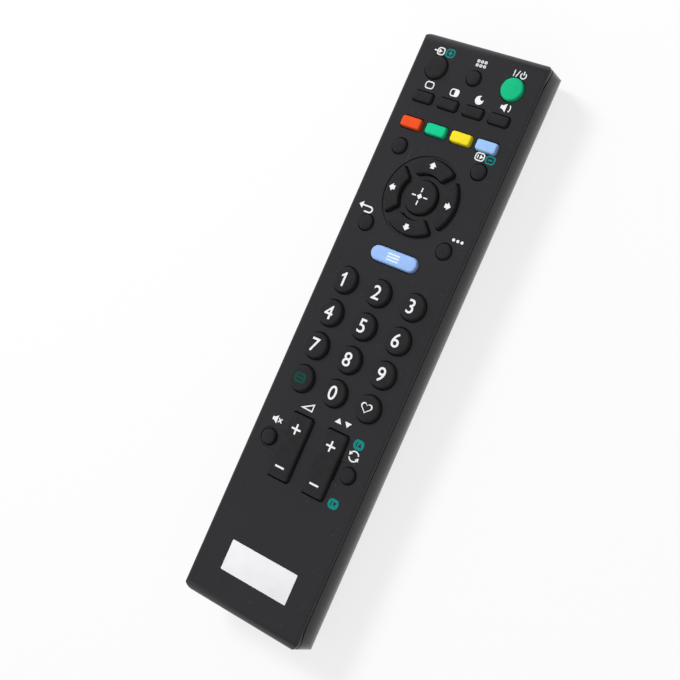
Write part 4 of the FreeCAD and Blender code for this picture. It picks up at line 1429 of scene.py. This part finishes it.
@dataclass
class Case:
    """The two shells, the battery cover, the infrared window, the sticker and the screw."""

    rim: float = 0.12 * MM
    sticker_corner: float = 0.3 * MM
    bulge_level: float = 13.4 * MM
    seam_levels: tuple[float, float] = (17.5 * MM, 17.85 * MM)
    tuck_levels: tuple[float, float] = (18.2 * MM, 19.45 * MM)
    bulge_depth: float = 0.8 * MM
    groove_depth: float = 1.1 * MM
    wall_start: float = 19.0 * MM
    wall_full: float = 20.9 * MM
    bulge_strips: int = 8
    tuck_strips: int = 6
    run_out: float = 9.0 * MM
    run_out_strips: int = 6

    def drawn_in(self, level: float) -> float:
        """How far the side walls lie inside their widest place at a level."""
        low, high = self.seam_levels
        if level <= low:
            return self.bulge_depth * share_of(level, self.bulge_level, low) ** 2
        if level <= high:
            return self.bulge_depth + (self.groove_depth - self.bulge_depth) * share_of(level, low, high)
        return self.groove_depth * (1 - eased(share_of(level, *self.tuck_levels)))

    def bulge_sides(self, piece: Piece) -> None:
        """Bends a shell's upright side walls, which then bulge below the seam and tuck in under the face.

        Args:
            piece: The shell.
        """
        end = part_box("top_shell")[1].y
        levels = evenly(self.bulge_level, self.seam_levels[0], self.bulge_strips)
        levels += [self.seam_levels[1], *evenly(*self.tuck_levels, self.tuck_strips)]
        cuts = [((0, 0, level), (0, 0, 1)) for level in levels]
        for place in evenly(end, end - self.run_out, self.run_out_strips)[1:]:
            cuts += [((0, place, 0), (0, 1, 0)), ((0, -place, 0), (0, 1, 0))]
        open_all(piece)
        bpy.ops.mesh.quads_convert_to_tris()
        for place, normal in cuts:
            bpy.ops.mesh.select_all(action="SELECT")
            bpy.ops.mesh.bisect(plane_co=place, plane_no=normal, threshold=SLIVER)
        leave_edit()
        for vertex in piece.data.vertices:
            point = vertex.co
            share = share_of(abs(point.x), self.wall_start, self.wall_full)
            share *= eased(share_of(end - abs(point.y), 0.0, self.run_out))
            point.x -= math.copysign(share * self.drawn_in(point.z), point.x)
        clean_flats(piece)

    def moulding(
        self, node: str, name: str, body: str, finish: Finish, bulges: bool = False
    ) -> None:
        """A copy of a packed moulding with its sharp edges rounded.

        Args:
            node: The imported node.
            name: The piece's name.
            body: The body that it rides on.
            finish: Its finish.
            bulges: Whether its side walls are bent.
        """
        piece = from_node(node, name)
        if bulges:
            self.bulge_sides(piece)
        round_edges(piece, self.rim)
        smooth(piece, 30, keep_flats=True)
        seat(dressed(piece, finish), body, [node])

    def sticker(self) -> None:
        """The bare white sticker, with round corners."""
        low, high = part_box("face_label")
        piece = block("bare_sticker", low, high)
        soften(piece, upright, self.sticker_corner, 5)
        soften(piece, beyond(Axis.Z, high.z), (high.z - low.z) / 3, 2)
        smooth(piece, 40)
        seat(dressed(piece, PAPER), "case", ["face_label"])

    def build(self) -> None:
        """Makes the pieces of the case."""
        self.moulding("top_shell", "face_moulding", "case", FACE, bulges=True)
        self.moulding("bottom_shell", "back_moulding", "case", BACK, bulges=True)
        self.moulding("battery_cover", "cover_moulding", "battery_cover", BACK)
        self.moulding("ir_window", "smoked_pane", "case", WINDOW)
        self.moulding("case_screw", "cross_head_screw", "case", ZINC)
        self.sticker()


# Inside


def round_end(axis: Axis, middle: Vector, reach: float) -> Test:
    """A test for the faces with their middle near a line that runs along an axis through a point."""
    others = [other for other in Axis if other is not axis]
    return lambda centre, normal: math.hypot(*(centre[other] - middle[other] for other in others)) < reach


@dataclass
class Cell:
    """One cell: a film sleeve over a steel can, with a button at one end and a shallow dish at the other."""

    node: str
    ahead: int             # 1 if its button points to the head end, -1 if to the tail
    rounding: float = 0.25 * MM
    button_radius: float = 1.8 * MM
    button_rise: float = 0.9 * MM
    button_slope: float = 0.12 * MM
    button_rim: float = 0.15 * MM
    dish_rim: float = 0.25 * MM
    dish_depth: float = 0.15 * MM
    dish_ring: float = 1.2 * MM
    sleeve_lip: float = 0.5 * MM
    lip_slope: float = 0.08 * MM
    lip_depth: float = 0.2 * MM
    steel_gap: float = 0.2 * MM
    ring: float = 0.5 * MM
    band_share: float = 0.27

    def build(self) -> None:
        """Makes the cell out of a plain drum."""
        low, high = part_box(self.node)
        middle = middle_of(self.node)
        start, end = (low.y, high.y) if self.ahead > 0 else (high.y, low.y)
        shoulder = end - self.ahead * self.button_rise
        radius = (high.x - low.x) / 2
        foot, head = ((middle.x, place, middle.z) for place in (start, shoulder))
        piece = drum(self.node + "_dressed", foot, head, radius, MANY_SIDES)
        soften(piece, across(Axis.Y), self.rounding, 3)
        self.shape_end(piece, shoulder, self.ahead, radius)
        self.shape_end(piece, start, -self.ahead, radius)
        smooth(piece, 35)
        band_edge = start + (end - start) * (1 - self.band_share)
        dressed(piece, CellSleeve(self.node + "_film", FILM_DARK, FILM_BAND, band_edge, self.ahead))
        dress_part(piece, STEEL_END, round_end(Axis.Y, middle, radius - self.sleeve_lip - self.steel_gap))
        seat(piece, "case", [self.node])

    def shape_end(self, piece: Piece, level: float, way: int, radius: float) -> None:
        """Forms one end: the film's lip, the steel, and the button or the dish.

        Args:
            piece: The cell.
            level: Where the end lies along the case.
            way: 1 if the end faces +Y, -1 if it faces -Y.
            radius: The cell's radius.
        """
        choose(piece, Kind.FACES, facing(Axis.Y, way, level))
        inset((self.sleeve_lip, 0.0), (self.lip_slope, -self.lip_depth), (self.ring, 0.0))
        if way == self.ahead:
            flat = radius - self.rounding - self.sleeve_lip - self.lip_slope - self.ring
            inset(
                (flat - self.button_radius - self.button_slope, 0.0),
                (self.button_slope, self.button_rise + self.lip_depth - self.button_rim),
                (self.button_rim, self.button_rim),
            )
        else:
            inset((self.dish_rim, -self.dish_depth), (self.dish_ring, 0.0))
        leave_edit()


@dataclass
class ContactSpring:
    """A conical spring of round wire against one end of the bay."""

    node: str
    way: int
    wire: float = 0.5 * MM
    base_radius: float = 3.4 * MM
    tip_radius: float = 2.3 * MM
    turns: float = 2.5
    clearance: float = 0.1 * MM
    length: float = 4.0 * MM
    steps: int = 80

    def build(self) -> None:
        """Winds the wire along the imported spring's own line."""
        low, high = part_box(self.node)
        middle = middle_of(self.node)
        base = low.y if self.way > 0 else high.y
        offset_x, offset_z = self.middle_offset()
        line = bpy.data.curves.new(self.node + "_wound", "CURVE")
        line.dimensions = "3D"
        line.bevel_depth = self.wire / 2
        line.bevel_resolution = 3
        line.use_fill_caps = True
        path = line.splines.new("POLY")
        path.points.add(self.steps)
        climb = self.length - self.wire - self.clearance
        for share, point in zip(evenly(0.0, 1.0, self.steps), path.points):
            x, z = self.flat_point(share)
            along = base + self.way * (self.wire / 2 + climb * share)
            point.co = (middle.x - offset_x + x, along, middle.z - offset_z + z, 1.0)
        piece = to_mesh(linked(self.node + "_wound", line))
        smooth(piece, 50)
        seat(dressed(piece, SPRING_WIRE), "case", [self.node])

    def flat_point(self, share: float) -> tuple[float, float]:
        """Where the wire is across the bay after a share of its turns."""
        radius = self.base_radius + (self.tip_radius - self.base_radius) * share
        return on_circle(radius, 360 * self.turns * share)

    def middle_offset(self) -> list[float]:
        """The middle of the wound line's box, seen along the cell, from the cell's axis."""
        points = [self.flat_point(share) for share in evenly(0.0, 1.0, self.steps)]
        return [(min(values) + max(values)) / 2 for values in zip(*points)]


@dataclass
class Electronics:
    """The board, what is soldered to it, the lamp and the contact strips."""

    edge: float = 0.08 * MM
    leg_reach: float = 1.38 * MM
    cap_reach: float = 0.35 * MM
    dip_rounding: float = 0.7 * MM
    can_rounding: float = 0.3 * MM
    can_rim: float = 0.35 * MM
    can_slope: float = 0.1 * MM
    can_groove: float = 0.25 * MM
    can_sleeve: float = 0.7 * MM
    lamp_radius: float = 2.5 * MM
    lamp_flange: float = 1.0 * MM
    lamp_flange_radius: float = 2.9 * MM
    lamp_length: float = 8.2 * MM
    flange_rounding: float = 0.15 * MM
    dome_foot: float = 0.1 * MM
    dome_share: float = 0.96
    lead_pitch: float = 2.54 * MM
    lead_half: float = 0.25 * MM
    lead_step: float = 0.02 * MM
    lead_rounding: float = 0.1 * MM

    def plain(self, node: str, name: str, finish: Finish) -> Piece:
        """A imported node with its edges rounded.

        Args:
            node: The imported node.
            name: The piece's name.
            finish: Its finish.

        Returns:
            The piece.
        """
        piece = from_node(node, name)
        round_edges(piece, self.edge)
        smooth(piece, 30, keep_flats=True)
        return seat(dressed(piece, finish), "case", [node])

    def plate_ends(self, piece: Piece, node: str, depth: float) -> None:
        """Gives both ends of a component a plated finish.

        Args:
            piece: The component.
            node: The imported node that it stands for.
            depth: How far the plating goes in from each end.
        """
        low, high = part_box(node)
        middle = (low.y + high.y) / 2
        reach = (high.y - low.y) / 2 - depth
        dress_part(piece, NICKEL, lambda centre, normal: abs(centre.y - middle) > reach)

    def resonator(self) -> None:
        """The dipped resonator, round at its ends."""
        low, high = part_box("resonator")
        piece = plate("resonator", "dipped_resonator", (high.y - low.y) / 2, high.z - low.z, 12)
        soften(piece, lambda first, second: max(first.z, second.z) < low.z + TINY, self.dip_rounding, 4)
        smooth(piece, 40)
        seat(dressed(piece, ORANGE_DIP), "case", ["resonator"])

    def capacitor(self) -> None:
        """The capacitor's can, with a rolled groove and a bare end."""
        low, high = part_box("capacitor")
        middle = middle_of("capacitor")
        radius = (high.z - low.z) / 2
        foot, head = ((place, middle.y, middle.z) for place in (low.x, high.x))
        piece = drum("sleeved_capacitor", foot, head, radius, SOME_SIDES)
        soften(piece, across(Axis.X), self.can_rounding, 3)
        for level, way in ((low.x, -1), (high.x, 1)):
            choose(piece, Kind.FACES, facing(Axis.X, way, level))
            inset((self.can_rim, 0.0), (self.can_slope, -self.can_groove))
            leave_edit()
        smooth(piece, 35)
        dressed(piece, CAN_SLEEVE)
        dress_part(piece, STEEL_END, round_end(Axis.X, middle, radius - self.can_sleeve))
        seat(piece, "case", ["capacitor"])

    def lamp(self) -> None:
        """The infrared lamp: a clear dome on a flange, with two bent leads."""
        low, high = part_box("ir_lamp")
        x = (low.x + high.x) / 2
        z = low.z + self.lamp_flange_radius
        base = high.y - self.lamp_length
        neck = base + self.lamp_flange
        flange = drum("lamp_flange", (x, base, z), (x, neck, z), self.lamp_flange_radius, SOME_SIDES)
        soften(flange, across(Axis.Y), self.flange_rounding, 2)
        dome = drum("lamp_dome", (x, neck - self.dome_foot, z), (x, high.y, z), self.lamp_radius, SOME_SIDES)
        soften(dome, beyond(Axis.Y, high.y), self.lamp_radius * self.dome_share, 10)
        clear = dressed(fuse("lamp_resin_parts", [flange, dome]), LAMP_RESIN)
        half = self.lead_half
        slim = half - self.lead_step
        bend = low.y + half
        leads = []
        for lead_x in (x - self.lead_pitch / 2, x + self.lead_pitch / 2):
            leads.append(
                block("lead_run", (lead_x - half, low.y, z - half), (lead_x + half, base + half, z + half))
            )
            leads.append(
                block("lead_rise", (lead_x - slim, bend - slim, z), (lead_x + slim, bend + slim, high.z))
            )
        wires = dressed(fuse("lamp_leads", leads), NICKEL)
        round_edges(wires, self.lead_rounding)
        piece = fuse("infrared_lamp", [clear, wires])
        smooth(piece, 35)
        seat(piece, "case", ["ir_lamp"])

    def build(self) -> None:
        """Makes everything on and under the board, and the contact strips."""
        self.plain("circuit_board", "laminate_board", LAMINATE)
        for node in ("contact_plus", "contact_minus", "contact_bridge"):
            self.plain(node, node + "_strip", NICKEL)
        chip = self.plain("remote_chip", "encoder_chip", CHIP_RESIN)
        self.plate_ends(chip, "remote_chip", self.leg_reach)
        resistors = self.plain("board_resistors", "chip_resistors", CHIP_CERAMIC)
        self.plate_ends(resistors, "board_resistors", self.cap_reach)
        self.resonator()
        self.capacitor()
        self.lamp()


# Studio


@dataclass(frozen=True)
class Viewpoint:
    """The photograph's camera, which looks at the face from the right."""

    position: tuple[float, float, float] = (194.83 * MM, -4.65 * MM, 368.04 * MM)
    right: tuple[float, float, float] = (0.79268, 0.40275, -0.45766)
    up: tuple[float, float, float] = (-0.34879, 0.91531, 0.20137)
    lens: float = 68.88
    sensor: float = 36.0
    nearest: float = 0.01

    def build(self) -> None:
        """Sets up the camera."""
        data = bpy.data.cameras.new("camera")
        data.lens = self.lens
        data.sensor_width = self.sensor
        data.clip_start = self.nearest
        camera = linked("camera", data)
        right = Vector(self.right).normalized()
        back = right.cross(Vector(self.up)).normalized()
        axes = Matrix((right, back.cross(right), back)).transposed()
        camera.matrix_world = Matrix.Translation(self.position) @ axes.to_4x4()
        bpy.context.scene.camera = camera


@dataclass(frozen=True)
class SoftLamp:
    """A square studio lamp."""

    name: str
    position: tuple[float, float, float]
    size: float
    power: float

    def build(self) -> None:
        """Sets the lamp up, turned to the middle of the object."""
        data = bpy.data.lights.new(self.name, "AREA")
        data.size = self.size
        data.energy = self.power
        lamp = linked(self.name, data)
        lamp.visible_glossy = False
        facing_middle = (-Vector(self.position)).to_track_quat("-Z", "Y")
        lamp.matrix_world = Matrix.Translation(self.position) @ facing_middle.to_matrix().to_4x4()


@dataclass(frozen=True)
class Studio:
    """A pale table under a soft white surround."""

    surround: float = 0.39
    overhead: float = 0.35
    low_sky: float = 0.25
    high_sky: float = 0.85
    floor_reach: float = 3.0
    floor_drop: float = 0.1 * MM
    floor_tone: float = 0.82
    floor_roughness: float = 0.8
    shadow_share: float = 0.22
    lamps: tuple[SoftLamp, ...] = (
        SoftLamp("key_lamp", (-0.52, 0.37, 0.95), 0.34, 11.2),
        SoftLamp("fill_lamp", (0.5, -0.8, 0.9), 0.9, 1.7),
    )

    @staticmethod
    def rays(tree: Tree, *kinds: str) -> Socket:
        """1 for rays of any of these kinds, 0 for all others."""
        path = tree.nodes.new("ShaderNodeLightPath")
        socket = path.outputs[kinds[0]]
        for other in kinds[1:]:
            socket = combined(tree, "MAXIMUM", socket, path.outputs[other])
        return socket

    def build_world(self) -> None:
        """Sets up the surround: white to the camera, and darker overhead in reflections."""
        world = bpy.data.worlds.new("surround")
        bpy.context.scene.world = world
        world.use_nodes = True
        tree = world.node_tree
        background = tree.nodes["Background"]
        supply(tree, (1.0, 1.0, 1.0), background.inputs["Color"])
        direction = tree.nodes.new("ShaderNodeTexCoord")
        split = tree.nodes.new("ShaderNodeSeparateXYZ")
        supply(tree, direction.outputs["Generated"], split.inputs["Vector"])
        mirrored = mapped(tree, split.outputs["Z"], self.low_sky, self.high_sky, 1.0, self.overhead)
        lit = mapped(tree, self.rays(tree, "Is Glossy Ray"), 0.0, 1.0, self.surround, mirrored)
        direct = self.rays(tree, "Is Camera Ray", "Is Transmission Ray")
        supply(tree, mapped(tree, direct, 0.0, 1.0, lit, 1.0), background.inputs["Strength"])

    def build_floor(self) -> None:
        """Lays the table, which the camera sees as white with a pale shadow."""
        clear_selection()
        bpy.ops.mesh.primitive_plane_add(size=2 * self.floor_reach, location=(0, 0, -self.floor_drop))
        floor = named("table")
        material = bpy.data.materials.new("table_white")
        material.use_nodes = True
        tree = material.node_tree
        shader = tree.nodes["Principled BSDF"]
        supply(tree, (self.floor_tone,) * 3, shader.inputs["Base Color"])
        supply(tree, self.floor_roughness, shader.inputs["Roughness"])
        glow = tree.nodes.new("ShaderNodeEmission")
        direct = self.rays(tree, "Is Camera Ray", "Is Glossy Ray", "Is Transmission Ray")
        share = combined(tree, "MULTIPLY", direct, 1.0 - self.shadow_share)
        blend = tree.nodes.new("ShaderNodeMixShader")
        for index, source in enumerate((share, shader.outputs["BSDF"], glow.outputs["Emission"])):
            supply(tree, source, blend.inputs[index])
        supply(tree, blend.outputs["Shader"], tree.nodes["Material Output"].inputs["Surface"])
        floor.data.materials.append(material)

    def build(self) -> None:
        """Sets up the surround, the table and the lamps."""
        self.build_world()
        self.build_floor()
        for lamp in self.lamps:
            lamp.build()
        bpy.context.scene.view_settings.view_transform = "Standard"


def main() -> None:
    """Builds every piece in order."""
    logging.basicConfig(level=logging.INFO, format="%(message)s")
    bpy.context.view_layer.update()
    Viewpoint().build()
    Case().build()
    Keypad().build()
    FacePrint().build()
    Cell("battery_cell_left", 1).build()
    Cell("battery_cell_right", -1).build()
    ContactSpring("spring_bridge", 1).build()
    ContactSpring("spring_minus", -1).build()
    Electronics().build()
    Studio().build()


if __name__ == "__main__":
    main()
